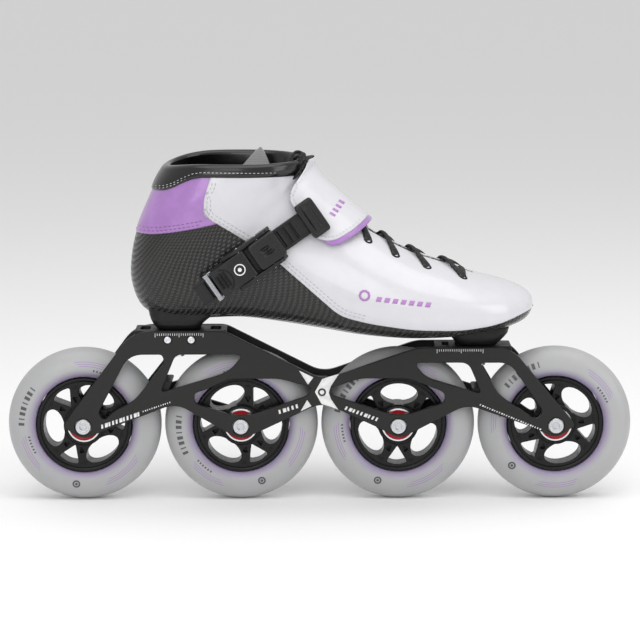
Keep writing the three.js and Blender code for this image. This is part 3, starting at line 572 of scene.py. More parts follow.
# %% Decks, webs and screws
def lying(points):
    """Lays a plate built along Y down flat: (x, y, z) becomes (x, z, y), which also mirrors its faces."""
    return points[:, [0, 2, 1]]


def deck_plate(outline, low, high, holes):
    points, faces = plate(outline, low, high, holes, 0.5)
    return lying(points), [rows[:, ::-1] for rows in faces]


def slot_line(x, half_x, half_y, cut):
    return rounded([(x - half_x, -half_y, cut), (x + half_x, -half_y, cut), (x + half_x, half_y, cut),
                    (x - half_x, half_y, cut)], 7)


def skirts(outline):
    """The two flanges that stand under a deck along the side plates."""
    return [plate(rounded(outline), low, high, (), 0.4) for low, high in ((-13.7, -10.4), (10.4, 13.7))]


heel_slots = [slot_line(-92, 9, 3.6, 3.4), slot_line(-112.5, 3.2, 8, 2.9), slot_line(-67, 3.4, 8, 2.9)]
under_heel = [(-119, 107, 1), (-58, 107, 1), (-70, 101.4, 4), (-109, 101.4, 4)]
parts = [deck_plate(slot_line(-89.5, 29.5, 13.7, 1), 106.6, 111.9, heel_slots), *skirts(under_heel)]
flats_first(piece("heel_bridge_plate", *joined(parts), anodised, "skate", ["heel_bridge"], sharp=0))
toe_slots = [slot_line(103, 9, 3.6, 3.4), slot_line(81.6, 2.2, 8, 2), slot_line(90, 1.8, 8, 1.6)]
under_toe = [(75, 97, 1), (124, 97, 1), (119, 95, 1), (80, 95, 1)]
parts = [deck_plate(slot_line(99.3, 24.6, 13.7, 1), 96.2, 101.05, toe_slots), *skirts(under_toe)]
flats_first(piece("toe_deck_plate", *joined(parts), anodised, "skate", ["toe_deck"], sharp=0))
WEBS = (("web_rear", -PITCH, 67, 79, 1.8, 7), ("web_middle", 0, 66.5, 79, 1.8, 6),
        ("web_front", PITCH, 65.5, 74, 1.6, 3.4))
for name, x, low, high, foot, head in WEBS:
    line = rounded([(x - foot, low, 1), (x + foot, low, 1), (x + head, high, 2), (x - head, high, 2)])
    flats_first(piece(f"{name}_bar", *plate(line, -13.7, 13.7, (), 0.3), anodised, "skate", [name], sharp=0))


def socket_head(radius, top, low, reach, x, z):
    """Profile of a button-head screw with a recess, its head outwards at -y."""
    line = [(0.001, top + 1.4), (radius * 0.42, top + 1.3), (radius * 0.46, top + 0.1), (radius * 0.52, top),
            (radius * 0.86, top + 0.1), (radius, top + 0.6), (radius, low), (1.5, low), (1.5, reach),
            (0.001, reach)]
    return turned(line, 32, x, z)


for side, sign in (("lateral", -1), ("medial", 1)):
    for k, (x, z) in enumerate(SCREWS, 1):
        points, faces = socket_head(2.5, -18.2, -15.3, -6.8, x, z)
        if sign > 0:
            points, faces = points * [1, -1, 1], faces[:, ::-1]
        piece(f"screw_{side}_{k}", points, faces, bright_steel, "skate", [f"bridge_screw_{side}_{k}"])


def refinish(names, material):
    """Gives nodes that stay as they came from the frame their finish."""
    for name in names:
        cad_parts[name].data.materials.clear()
        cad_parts[name].data.materials.append(material)


refinish(("mount_bolt_heel", "mount_bolt_toe", "washer_heel", "washer_toe"), bright_steel)

# %% [markdown]
# The printing on the outer plate is screen ink, a film a few hundredths thick. Films of ink are made
# as very thin plates on the metal: two ruler scales that show where the boot is set, a pair of
# triangles and an arrow at the waist, and rows of slanted bars where the maker's words would stand.

# %% Ruler scales and printed marks
white_ink = plain("white_screen_ink", (0.8, 0.8, 0.8), 0.35, 0.5, 900, 0.0, 0.01)
INK_LOW, INK_HIGH = -18.06, -17.9


def slanted(start, end, count, width, height, lean, swell=1.0):
    """Corners of slanted bars spaced evenly from start to end, along the line's slope; every fourth one is
    wider by swell."""
    start, end = np.array(start, float), np.array(end, float)
    way = (end - start) / np.linalg.norm(end - start)
    up = np.array([-way[1], way[0]])
    shapes = []
    for k, t in enumerate(np.linspace(0, 1, count)):
        foot = start + t * (end - start)
        wide = width * (swell if k % 4 == 1 else 1)
        head = foot + way * lean + up * height
        shapes.append((foot, foot + way * wide, head + way * wide, head))
    return shapes


def bars(*line):
    return [plate(np.array(shape), INK_LOW, INK_HIGH) for shape in slanted(*line, 1.7)]


ink = []
for first, last, top, ticks in ((-105.4, -74.6, 110.7, 23), (75.6, 105.1, 99.9, 22)):
    for k, x in enumerate(np.linspace(first, last, ticks)):
        tall = 2.6 if k in (0, ticks // 2, ticks - 1) else 1.5
        left, right = x - 0.17, x + 0.17
        tick = [(left, top - tall), (right, top - tall), (right, top), (left, top)]
        ink.append(plate(np.array(tick), INK_LOW, INK_HIGH))
ink += bars((-140.6, 48.6), (-117.2, 56.6), 11, 1.25, 2.6, 0.7)
ink += bars((-113.8, 59.4), (-96.6, 65.3), 13, 0.5, 0.9, 0.2)
ink += bars((-26.0, 58.0), (-15.0, 61.6), 5, 1.3, 2.6, 0.3)
ink += bars((16.0, 60.9), (35.6, 53.6), 9, 1.2, 2.4, 0.4)
ink += bars((103.0, 63.4), (141.5, 47.4), 26, 0.6, 1.0, 0.2)
ink.append(plate(rounded([(-13.2, 86.4, 0.3), (-3.9, 81.9, 0.3), (-7.4, 77.2, 0.3)]), INK_LOW, INK_HIGH))
ink.append(plate(rounded([(-8, 67.2, 0.3), (-5.2, 63.2, 0.3), (-12.2, 59.8, 0.3)]), INK_LOW, INK_HIGH))
arrow = [(1.8, 80.9), (12.6, 84.2), (7.2, 76.0), (6.0, 72.0), (7.2, 68.0), (12.0, 60.9), (7.6, 62.6),
         (1.4, 64.4), (-3.0, 72.4)]
ink.append(plate(rounded([(*p, 0.3) for p in arrow]), INK_LOW, INK_HIGH, [circle(2.6, 28, 1.6, 72.2)]))
ink.append(plate(circle(1.5, 24, 1.6, 72.2), INK_LOW, INK_HIGH))
points, faces = joined(ink)
piece("frame_print", points, faces, white_ink, "skate", sharp=0)
print("printed shapes:", len(ink))

# %% [markdown]
# ## Boot surface
#
# The whole boot hangs on one surface S(u, a). A section u fans from the toe round to the ankle; its
# half widths, its two end points and its squareness come from a short table, joined by Catmull-Rom
# curves. Round a section, the angle a runs over a superellipse: the height along the section is
# sin a to the power 2/n and the reach to the side is cos a to the power 2/n. Every panel, seam and
# lace is then a set of (u, a) places on S, lifted a little along the section.

# %% The surface and its table of sections
SECTIONS = np.array([
    [137.9, 126.0, 137.9, 126.2, 0, 0, 7, 0.5, 2.4, 2.2],
    [136.6, 121.8, 137.0, 131.0, 13, 15, 7, 0.45, 2.4, 2.2],
    [131.5, 117.0, 130.6, 136.6, 25, 27, 6, 0.42, 2.6, 2.2],
    [120.0, 113.0, 117.5, 141.9, 36, 35, 4.5, 0.4, 2.8, 2.2],
    [103.0, 110.2, 101.0, 146.3, 43, 41, 3, 0.38, 3.0, 2.2],
    [82.0, 107.6, 82.0, 153.2, 47, 46.5, 2, 0.37, 3.0, 2.2],
    [56.0, 107.0, 62.0, 159.8, 47, 46.5, 1.5, 0.37, 3.0, 2.2],
    [28.0, 108.8, 43.0, 169.0, 43.5, 41.5, 0, 0.38, 2.8, 2.2],
    [2.0, 112.6, 26.0, 179.5, 39.5, 37.5, 0, 0.4, 2.6, 2.2],
    [-24.0, 116.6, 11.0, 191.5, 36.5, 35, 0, 0.42, 2.5, 2.2],
    [-50.0, 119.6, -1.0, 202.0, 35, 34, 0, 0.45, 2.4, 2.2],
    [-76.0, 119.0, -6.0, 208.0, 34, 33.5, 0, 0.48, 2.4, 2.2],
    [-100.0, 119.5, -8.5, 212.0, 33.5, 33.5, 0, 0.5, 2.4, 2.2],
    [-114.5, 127.0, -9.5, 214.5, 34, 34, 0, 0.5, 2.3, 2.3],
    [-121.0, 143.0, -10.0, 216.5, 35, 35, 0, 0.5, 2.3, 2.3],
    [-120.8, 160.0, -10.0, 218.0, 36, 36, 0, 0.5, 2.3, 2.3],
    [-116.5, 179.0, -10.0, 219.5, 37, 37, 0, 0.5, 2.3, 2.3],
    [-109.0, 197.0, -9.5, 221.0, 37, 37, 0, 0.5, 2.3, 2.3],
    [-101.5, 213.0, -9.0, 223.0, 36.5, 36.5, 0, 0.5, 2.3, 2.3],
    [-96.0, 223.5, -9.0, 224.5, 36, 36, 0, 0.5, 2.3, 2.3],
])
LAST = len(SECTIONS) - 1


def section(u):
    """Catmull-Rom: b + t/2 (c - a + t (2a - 5b + 4c - d + t (3(b - c) + d - a))) for every column at once."""
    i = np.minimum(np.floor(u).astype(int), LAST - 1)
    t = (u - i)[..., None]
    a, b, c, d = (SECTIONS[np.clip(i + k, 0, LAST)] for k in (-1, 0, 1, 2))
    return b + 0.5 * t * (c - a + t * (2 * a - 5 * b + 4 * c - d + t * (3 * (b - c) + d - a)))


def surface(u, angle, sole=0.0, instep=0.0, side=0.0):
    """Points of the boot at sections u and angles; +90 degrees is the instep line, -90 the sole line and
    180 the outer side. sole, instep and side move the surface outwards in millimetres."""
    u, angle, lift_sole, lift_instep, lift_side = np.broadcast_arrays(u, angle, sole, instep, side)
    ax, az, bx, bz, outer, inner, middle, widest, low, high = np.moveaxis(section(u.astype(float)), -1, 0)
    s, c = np.sin(angle), np.cos(angle)
    power = 2 / np.where(s < 0, low, high)
    climb = np.sign(s) * np.abs(s) ** power
    reach = np.sign(c) * np.abs(c) ** power
    share = np.where(climb < 0, widest * (1 + climb), widest + climb * (1 - widest))
    along = np.stack([bx - ax, bz - az], -1)
    along = along / np.maximum(np.linalg.norm(along, axis=-1, keepdims=True), 1e-6)
    foot = np.stack([ax, az], -1) - along * lift_sole[..., None]
    head = np.stack([bx, bz], -1) + along * lift_instep[..., None]
    spot = foot + (head - foot) * share[..., None]
    half = np.maximum(np.where(c < 0, outer, inner) + lift_side, 0.5)
    return np.stack([spot[..., 0], middle + reach * half, spot[..., 1]], -1)


def evenly(lift):
    return {"sole": lift, "instep": lift, "side": lift}


# %% [markdown]
# A panel starts as a fine sheet of (u, a) places that runs once round the boot. It is cut to its
# pattern by sliding every triangle past the outline drawn in side view: where the signed distance to
# the outline changes sign along an edge, a new corner is set there. The cut edge is then pulled down
# onto the layer beneath, which leaves the soft turned rim of stitched patent leather.

# %% Cutting panels
def signed_distance(spots, outline):
    """Distance of each point from a closed outline, positive inside (inside by counting crossings)."""
    a, b = outline, np.roll(outline, -1, 0)
    best, crossings = np.full(len(spots), 1e9), np.zeros(len(spots), int)
    for p, q in zip(a, b):
        way, away = q - p, spots - p
        t = np.clip(away @ way / max(way @ way, 1e-12), 0, 1)
        best = np.minimum(best, np.linalg.norm(away - t[:, None] * way, axis=1))
        if p[1] != q[1]:
            hit = ((p[1] > spots[:, 1]) != (q[1] > spots[:, 1])) & (
                spots[:, 0] < (q[0] - p[0]) * (spots[:, 1] - p[1]) / (q[1] - p[1]) + p[0])
            crossings += hit
    return np.where(crossings % 2 == 1, best, -best)


def cut(table, triangles, value):
    """Keeps the part of each triangle where value > 0. Corners on the cut are mixed from table rows."""
    inside = value[triangles] > 0
    count = inside.sum(1)
    kept = [triangles[count == 3]]
    edges = []
    for wanted, lone in ((1, True), (2, False)):
        rows, flags = triangles[count == wanted], inside[count == wanted]
        turn = np.argmax(flags == lone, axis=1)
        rows = np.stack([rows[np.arange(len(rows)), (turn + k) % 3] for k in range(3)], -1)
        edges.append(rows)
    pairs = np.concatenate([np.stack([rows[:, 0], rows[:, k]], -1) for rows in edges for k in (1, 2)])
    ordered = np.sort(pairs, 1)
    unique, which = np.unique(ordered, axis=0, return_inverse=True)
    which = which.ravel() + len(table)
    v = value[unique]
    t = (v[:, 0] / (v[:, 0] - v[:, 1]))[:, None]
    table = np.concatenate([table, table[unique[:, 0]] * (1 - t) + table[unique[:, 1]] * t])
    one, two = edges
    n, m = len(one), len(two)
    p1, p2, q1, q2 = which[:n], which[n:2 * n], which[2 * n:2 * n + m], which[2 * n + m:]
    kept.append(np.stack([one[:, 0], p1, p2], -1))
    kept.append(np.stack([q1, two[:, 1], two[:, 2]], -1))
    kept.append(np.stack([q1, two[:, 2], q2], -1))
    triangles = np.concatenate(kept)
    value = np.concatenate([value, np.zeros(len(unique))])
    used, triangles = np.unique(triangles, return_inverse=True)
    return table[used], triangles.reshape(-1, 3), value[used]


def sheet_table(first, last, across, around):
    """Rows (u, a, s, t) of a grid once round the boot; s and t are lengths along and round it, in mm."""
    u = np.linspace(first, last, across)
    a = np.linspace(-np.pi / 2, 1.5 * np.pi, around)
    uu, aa = np.meshgrid(u, a, indexing="ij")
    p = surface(uu, aa)
    s = np.concatenate([np.zeros((1, around)), np.cumsum(np.linalg.norm(np.diff(p, axis=0), axis=2), 0)])
    t = np.concatenate([np.zeros((across, 1)), np.cumsum(np.linalg.norm(np.diff(p, axis=1), axis=2), 1)], 1)
    t = t - t[:, around // 2:around // 2 + 1]
    quads = grid_faces(across, around)[:, ::-1]
    triangles = np.concatenate([quads[:, [0, 1, 2]], quads[:, [0, 2, 3]]])
    return np.stack([uu, aa, s, t], -1).reshape(-1, 4), triangles


THROAT_SIDE = [(99, 3.5), (30, 8), (-12, 12), (-40, 12.5)]
THROAT = np.array([(99, -3.5), *THROAT_SIDE, *[(x, -y) for x, y in THROAT_SIDE[:0:-1]]], float)


def over_throat(table, grow=0.0):
    """Positive away from the opening over the instep, seen from above; only the upper half has it."""
    p = surface(table[:, 0], table[:, 1])
    outline = eased(THROAT, -grow, False) if grow else THROAT
    away = -signed_distance(p[:, :2], outline)
    return np.where(np.sin(table[:, 1]) > 0, away, 99.0)


def weld(made, distance=0.02):
    """Closes the sheet's seam under the sole, keeping each side's own UV."""
    made_mesh = bmesh.new()
    made_mesh.from_mesh(made.data)
    bmesh.ops.remove_doubles(made_mesh, verts=made_mesh.verts, dist=distance * MM)
    made_mesh.to_mesh(made.data)
    made_mesh.free()


def panel(name, outline, material, lift, nodes=(), first=0.12, density=(300, 260), under=0.0,
          throat=0.0, thick=1.2, last=19, rim=1.4):
    """A leather panel: the sheet cut to an outline in side view, lifted by `lift` except at its rim, where
    it comes down to `under`, and given its thickness inwards."""
    table, triangles = sheet_table(first, last, *density)
    p = surface(table[:, 0], table[:, 1])
    value = signed_distance(p[:, [0, 2]], outline)
    if throat is not None:
        value = np.minimum(value, over_throat(table, throat))
    table, triangles, value = cut(table, triangles, value)
    t = np.clip(value / rim, 0, 1)
    height = under + (lift - under) * np.sqrt(1 - (1 - t) ** 2)
    points = surface(table[:, 0], table[:, 1], height, height, height)
    made = piece(name, points, triangles, material, "skate", nodes, table[:, 2:4], sharp=0)
    weld(made)
    modifier(made, "SOLIDIFY", thickness=thick * MM, offset=-1)
    return made


ball = surface(np.full(90, 5.5), np.linspace(0, 2 * np.pi, 90))
print("boot: widest", round(float(np.ptp(ball[:, 1])), 1), "mm")

# %% [markdown]
# ## Boot materials
#
# The shell is carbon cloth under clear resin: a 2/2 twill, where each tow goes over two and under two
# and the steps make diagonals. Tows across and along the cloth shine in different directions, which
# is why the cloth glints; here the two families get their own roughness, one of them a paler painted
# glint colour, each tow is rounded by a bump and the gaps between tows get painted shade. The panels
# are patent leather: colour under a thick gloss, with painted shade in the creases and a faint
# orange-peel. Thread, mesh and braid are drawn in real millimetres on the pieces' own UV.

# %% Carbon, patent leather, fabric and thread
def carbon_cloth(name, tow, gloss):
    """Twill of a given tow size under clear resin: one tow family gets a painted glint and is smoother;
    painted shade fills the gaps.
    """
    material, nodes, shader, coords = new_material(name)
    cloth = nodes.add("ShaderNodeVectorRotate", {"rotation_type": "Z_AXIS"}, Vector=coords["UV"],
                      Angle=math.radians(38)).outputs[0]
    wobble = nodes.add("ShaderNodeTexNoise", {"noise_dimensions": "3D"}, Vector=cloth, Scale=60.0, Detail=2.0)
    shift = nodes.add("ShaderNodeVectorMath", {"operation": "SCALE"}, i0=wobble.outputs["Color"],
                      Scale=0.0012)
    cloth = nodes.add("ShaderNodeVectorMath", {"operation": "ADD"}, i0=cloth, i1=shift.outputs[0]).outputs[0]
    weave = use(nodes, twill, Vector=cloth, Tow=tow)
    # Tows of one direction get a paler colour: a painted glint, since real tows of both directions share one
    # colour.
    glint_and_gap_shade = nodes.mix(weave["Over"], (0.002, 0.0018, 0.0016, 1), (0.032, 0.029, 0.026, 1))
    # Darker where each tow's height falls off towards its edges: painted shade in the gaps between tows.
    edges = nodes.smooth(weave["Height"], 0.15, 0.6)
    glint_and_gap_shade = nodes.mix(edges, (0.002, 0.002, 0.002, 1), glint_and_gap_shade)
    nodes.put(shader.inputs["Base Color"], glint_and_gap_shade)
    nodes.put(shader.inputs["Roughness"], nodes.smooth(weave["Over"], 0.0, 1.0, 0.45, 0.2))
    shader.inputs["Coat Weight"].default_value = gloss
    shader.inputs["Coat Roughness"].default_value = 0.1
    shader.inputs["Specular IOR Level"].default_value = 0.3
    bump(nodes, shader, weave["Height"], 1.0, 0.0003)
    return material


def patent(name, color, dark=0.9):
    """Coated leather: creases and a fine peel bump the surface under a clear coat; painted shade darkens the
    creases.
    """
    material, nodes, shader, coords = new_material(name)
    patch = use(nodes, uneven, Vector=coords["Object"], Size=55.0, Low=0.16, High=0.26)
    creases = nodes.noise(coords["Object"], 90.0, 6.0, 0.6)
    # Colour scaled by `dark` where the crease bump is low: painted shade in the creases.
    base = nodes.mix(nodes.smooth(creases, 0.35, 0.7), (*[c * dark for c in color], 1), (*color, 1))
    nodes.put(shader.inputs["Base Color"], base)
    nodes.put(shader.inputs["Roughness"], patch["Value"])
    shader.inputs["Coat Weight"].default_value = 0.4
    shader.inputs["Coat Roughness"].default_value = 0.06
    peel = nodes.math("MULTIPLY", patch["Height"], 0.08)
    height = nodes.math("ADD", nodes.math("MULTIPLY", creases, 0.7), peel)
    bump(nodes, shader, height, 1.0, 0.00025)
    return material


def fabric(name, dark, light, pitch, height_mm, rough=0.85):
    """A knit or mesh: rows of small rounded cells, alternate rows shifted by half a cell."""
    material, nodes, shader, coords = new_material(name)
    across, along, _ = nodes.xyz(nodes.add("ShaderNodeVectorMath", {"operation": "SCALE"}, i0=coords["UV"],
                                           Scale=1 / pitch).outputs[0])
    row = nodes.math("FLOOR", along)
    shifted = nodes.math("ADD", across, nodes.math("MULTIPLY", row, 0.5))
    cx = nodes.math("SUBTRACT", nodes.math("FRACT", shifted), 0.5)
    cy = nodes.math("SUBTRACT", nodes.math("FRACT", along), 0.5)
    square = nodes.math("ADD", nodes.math("MULTIPLY", cx, cx), nodes.math("MULTIPLY", cy, cy))
    away = nodes.math("SQRT", square)
    cell = nodes.smooth(away, 0.5, 0.12)
    fuzz = nodes.noise(coords["Object"], 2500.0, 2.0)
    shown = nodes.math("MULTIPLY", cell, nodes.smooth(fuzz, 0.2, 0.7))
    nodes.put(shader.inputs["Base Color"], nodes.mix(shown, (*dark, 1), (*light, 1)))
    nodes.put(shader.inputs["Roughness"], nodes.smooth(fuzz, 0.0, 1.0, rough - 0.1, min(1.0, rough + 0.1)))
    shader.inputs["Sheen Weight"].default_value = 0.15
    bump(nodes, shader, nodes.math("ADD", cell, nodes.math("MULTIPLY", fuzz, 0.3)), 0.9, height_mm * MM)
    return material


shell_cloth = carbon_cloth("carbon_twill", 0.0013, 0.55)
white_patent = patent("white_patent", (0.63, 0.622, 0.655), 0.97)
lilac_patent = patent("lilac_patent", (0.38, 0.19, 0.5), 0.88)
black_patent = patent("black_patent", (0.004, 0.004, 0.004))
black_patent.node_tree.nodes["Principled BSDF"].inputs["Coat Weight"].default_value = 0.15
lining = fabric("lining_knit", (0.012, 0.011, 0.01), (0.05, 0.046, 0.042), 0.0016, 0.18)
tongue_mesh = fabric("tongue_mesh", (0.004, 0.004, 0.004), (0.03, 0.03, 0.03), 0.0022, 0.3)
grey_thread = plain("grey_thread", (0.42, 0.42, 0.44), 0.5, 0.7, 2500, 0.0, 0.03)
white_thread = plain("white_thread", (0.6, 0.6, 0.6), 0.5, 0.7, 2500, 0.0, 0.03)
purple_thread = plain("purple_thread", (0.2, 0.08, 0.25), 0.5, 0.7, 2500, 0.0, 0.03)
print("boot materials:", len(bpy.data.materials))

# %% [markdown]
# ## Boot panels
#
# The carbon shell wraps heel, quarters and sole. Over it lie a lilac heel panel and the white upper,
# which runs from the ankle to the toe, and a black collar closes the top. Their outlines are the seam
# lines seen from the side; each goes some way under its neighbour, as the real pattern does.

# %% Shell, heel panel and upper
SHELL_LINE = rounded([(-135, 95), (150, 95), (150, 127.5), (134, 127, 2), (112, 123.5, 5),
                      (60, 121, 5), (36, 125, 6), (8, 139, 5),
                      (-30, 169, 5), (-60, 191, 5), (-84, 187, 5), (-104, 184, 5), (-135, 184)])
LILAC_LINE = rounded([(-135, 176), (-106, 175.4, 8), (-84, 178.6, 12), (-56, 184.6, 2),
                      (-56, 214), (-76, 213), (-98, 206), (-135, 203.5)])
WHITE_LINE = rounded([(-60, 214.4), (-67.6, 214.4, 1), (-69.5, 208, 6), (-73.8, 195, 8),
                      (-71.5, 187.4, 5), (-27.1, 159.5, 1), (13.5, 124.6, 7), (32.8, 120.2, 6),
                      (60, 116.4, 8), (89.8, 115.8, 8), (112, 118.2, 8), (134, 125.0, 4),
                      (150, 127), (160, 180), (30, 214.4)])
shell = panel("carbon_shell_skin", SHELL_LINE, shell_cloth, 0.0, ["carbon_shell"], throat=None, thick=2.0)
lilac = panel("lilac_heel_panel", LILAC_LINE, lilac_patent, 0.75, ["heel_panel"], under=0.3)
white = panel("white_upper", WHITE_LINE, white_patent, 1.25, ["upper"], first=0.05, under=0.85)
print("panel corners:", len(shell.data.vertices), len(lilac.data.vertices), len(white.data.vertices))

# %% [markdown]
# The collar is a foam roll: patent leather outside, knit inside. Its cross-section climbs the outer
# side from the seam, goes over the top on a half circle and comes down inside. It is swept round the
# ankle from one side of the throat to the other, and its ends shrink to a point, which closes it.

# %% Collar and lining
def level_place(angle, level, lift):
    """Points of the surface at given angles where z reaches a level: the section is found between rows of a
    fine table, since z rises steadily with u at the ankle."""
    u = np.linspace(12.6, 19.5, 140)
    z = surface(u[:, None], angle[None, :])[..., 2]
    upper = np.clip((z[:, None, :] < level[None]).sum(0), 1, len(u) - 1)
    column = np.arange(len(angle))[None, :]
    z0, z1 = z[upper - 1, column], z[upper, column]
    t = np.clip((level - z0) / (z1 - z0), 0, 1)
    found = u[upper - 1] + t * (u[upper] - u[upper - 1])
    spots = surface(found, angle[None, :], lift, lift, lift)
    spots[..., 2] = level
    return spots


def round_ends(count, reach):
    """1 along a sweep, falling to 0 over `reach` rows at each end on a quarter circle."""
    away = np.minimum(np.arange(count), np.arange(count)[::-1])
    return np.sqrt(1 - (1 - np.clip(away / reach, 0, 1)) ** 2)


COLLAR_SEAM = [(-125, 200.5), (-98, 202.8), (-92, 204.9), (-86, 208.2), (-80, 210.9), (-74, 212), (5, 211.2)]


def collar_levels(angle):
    """Heights of the collar's top and of its seam for each angle, found by going up and down twice."""
    top = np.full(len(angle), 221.0)
    seam = np.full(len(angle), 208.0)
    for _ in range(3):
        p = level_place(angle, top[None], np.zeros((1, len(angle))))[0]
        top = 222.6 + 0.062 * p[:, 1] - 0.0045 * np.clip(-70 - p[:, 0], 0, 40) ** 2
        q = level_place(angle, seam[None], np.zeros((1, len(angle))))[0]
        seam = np.interp(q[:, 0], *np.transpose(COLLAR_SEAM))
    return top, seam


def collar_roll(count=260, half_gap=19):
    """Rows of (level, lift) up the outer side, over a half circle and down the inner side, each placed on
    the surface for every angle; the rows shrink towards both ends of the sweep."""
    angle = np.radians(np.linspace(90 + half_gap, 450 - half_gap, count))
    top, seam = collar_levels(angle)
    radius, middle = 3.2, -1.7
    side = np.linspace(0, 1, 9)[:, None]
    outer_level = seam + side * (top - radius - seam)
    outer_lift = 0.3 + (middle + radius - 0.3) * np.minimum(1, side * 9) ** 0.5 + 0.7 * np.sin(np.pi * side)
    turn = np.radians(np.linspace(15, 165, 9))[:, None]
    over_level = top - radius + radius * np.sin(turn)
    over_lift = middle + radius * np.cos(turn) + 0 * top
    inner_level = top - radius - side * 14
    inner_lift = middle - radius - 0.5 * np.sin(np.pi * side) + 0 * top
    back_level = np.stack([seam - 1, seam - 0.5])
    back_lift = np.array([[-3.4], [-1.0]]) + 0 * top
    level = np.concatenate([outer_level, over_level, inner_level, back_level])
    lift = np.concatenate([outer_lift + 0 * top, over_lift, inner_lift, back_lift])
    fullness = round_ends(count, 5)
    level = level.mean(0) + (level - level.mean(0)) * np.where(fullness > 0, 0.25 + 0.75 * fullness, 0)
    lift = lift.mean(0) + (lift - lift.mean(0)) * fullness
    points = level_place(angle, level, lift)
    rows = len(level)
    along = np.cumsum(np.linalg.norm(np.diff(points[9], axis=0, prepend=points[9][:1]), axis=1))
    round_ = np.cumsum(np.linalg.norm(np.diff(points[:, 60], axis=0, prepend=points[:1, 60]), axis=1))
    uv = np.stack(np.broadcast_arrays(along[None], round_[:, None]), -1).reshape(-1, 2)
    faces = grid_faces(rows, count, True)
    return points.reshape(-1, 3), outward(points.reshape(-1, 3), faces), uv


points, faces, uv = collar_roll()
collar = piece("collar_roll", points, faces, black_patent, "skate", ["collar"], uv, sharp=0)
weld(collar)
LINING_LINE = rounded([(-140, 90), (124, 90), (124, 180), (6, 214), (-140, 214)])
panel("lining", LINING_LINE, lining, -2.3, ["liner"], density=(150, 140), under=-2.3, throat=0.6, thick=3.2)
print("collar points:", len(points), "height of roll:", round(float(np.ptp(points[:, 2])), 1), "mm")

# %% [markdown]
# The tongue lies under the throat and stands up a little in front of the ankle. It is a flat pad: each
# cross-section is an oval whose thickness follows a square-root at the edges, so that the sides are
# round, with two sewn channels pressed in along it.

# %% Tongue and footbed
def tongue_pad(rows=120, around=56):
    """Ovals across the instep: the angle swings by half * cos, the lift by the 0.6th power of sin."""
    u = np.linspace(3.35, 17.6, rows)[:, None]
    half = np.interp(u, [3.35, 4.5, 8, 12, 17.6], [15, 21, 27, 25, 17])
    turn = np.linspace(0, 2 * np.pi, around, endpoint=False)[None]
    across = np.cos(turn)
    angle = np.pi / 2 - np.radians(half * across)
    fat = np.sin(turn)
    channel = 1 - 0.35 * np.exp(-((np.abs(across) - 0.42) / 0.07) ** 2)
    ends = round_ends(rows, 5)[:, None]
    lift = -3.6 + 2.6 * np.sign(fat) * np.abs(fat) ** 0.6 * channel * ends
    rise = np.clip((u - 12) / 5.6, 0, 1)
    points = surface(u, angle, lift, lift - 2.4 * (1 - ends), lift)
    points[..., 2] += 3.2 * rise ** 2
    points[..., 0] += 2.6 * rise
    length = np.cumsum(np.linalg.norm(np.diff(points[:, 14], axis=0, prepend=points[:1, 14]), axis=1))
    uv = np.stack(np.broadcast_arrays(22 * across, length[:, None]), -1).reshape(-1, 2)
    return points.reshape(-1, 3), grid_faces(rows, around, False, True), uv


points, faces, uv = tongue_pad()
tongue = piece("tongue_pad", points, outward(points, faces), tongue_mesh, "skate", ["tongue"], uv, sharp=0)
weld(tongue)


def footbed(rows=60, across=40):
    """A thin foam sole: a plan outline filled by running the width from side to side, dished at the heel."""
    x = np.linspace(-112, 125, rows)[:, None]
    half = np.interp(x, [-112, -106, -90, -30, 40, 80, 110, 121, 125], [4, 16, 24, 24, 33, 36, 28, 16, 4])
    middle = np.interp(x, [-112, 0, 60, 125], [0, 0, 1, 5])
    side = np.linspace(-1, 1, across)[None]
    level = np.interp(x, [-112, -48, -20, 40, 96, 125], [129, 129, 127, 117.6, 118, 121])
    z = level + 1.6 * np.abs(side) ** 4
    top = np.stack(np.broadcast_arrays(x, middle + half * side, z), -1)
    bottom = top - [0, 0, 3.0]
    ring = np.concatenate([top, bottom[:, ::-1]], 1)
    uv = np.concatenate([top[..., :2], bottom[:, ::-1, :2]], 1).reshape(-1, 2)
    ring[[0, -1]] = ring[[0, -1]].mean(1, keepdims=True)
    return ring.reshape(-1, 3), grid_faces(rows, 2 * across, False, True), uv


points, faces, uv = footbed()
weld(piece("footbed", points, outward(points, faces), lining, "skate", ["insole"], uv, sharp=0))
print("tongue and footbed made")

# %% [markdown]
# The shell stands on two blocks of the same laminate, one under the heel and one under the ball. Each
# is a stack of rounded rectangles (superellipses, |x|^n + |y|^n = 1) that spread as they rise into the
# shell, so that block and shell read as one moulding.

# %% Mounting blocks
def flared_block(name, levels):
    """levels: (z, x_low, x_high, y_low, y_high); smooth in between by interpolating a finer stack."""
    table = np.array(levels, float)
    t = np.linspace(0, len(table) - 1, 26)
    fine = np.stack([np.interp(t, np.arange(len(table)), table[:, k]) for k in range(5)], -1)
    turn = np.linspace(0, 2 * np.pi, 96, endpoint=False)
    c, s = np.cos(turn), np.sin(turn)
    cx, cy = np.sign(c) * np.abs(c) ** 0.45, np.sign(s) * np.abs(s) ** 0.45
    x = (fine[:, 1:2] + fine[:, 2:3]) / 2 + (fine[:, 2:3] - fine[:, 1:2]) / 2 * cx
    y = (fine[:, 3:4] + fine[:, 4:5]) / 2 + (fine[:, 4:5] - fine[:, 3:4]) / 2 * cy
    rings = np.stack([x, y, fine[:, :1] + 0 * x], -1)
    caps = [np.repeat(ring.mean(0, keepdims=True), 96, 0) for ring in (rings[0], rings[-1])]
    rings = np.concatenate([caps[0][None], rings, caps[1][None]])
    points = rings.reshape(-1, 3)
    round_ = np.cumsum(np.linalg.norm(np.diff(rings[1], axis=0, prepend=rings[1][:1]), axis=1))
    uv = np.stack(np.broadcast_arrays(round_[None], rings[..., 2]), -1).reshape(-1, 2)
    faces = outward(points, grid_faces(len(rings), 96, False, True))
    weld(piece(name, points, faces, block_resin, "skate", (), uv, 50), 0.001)


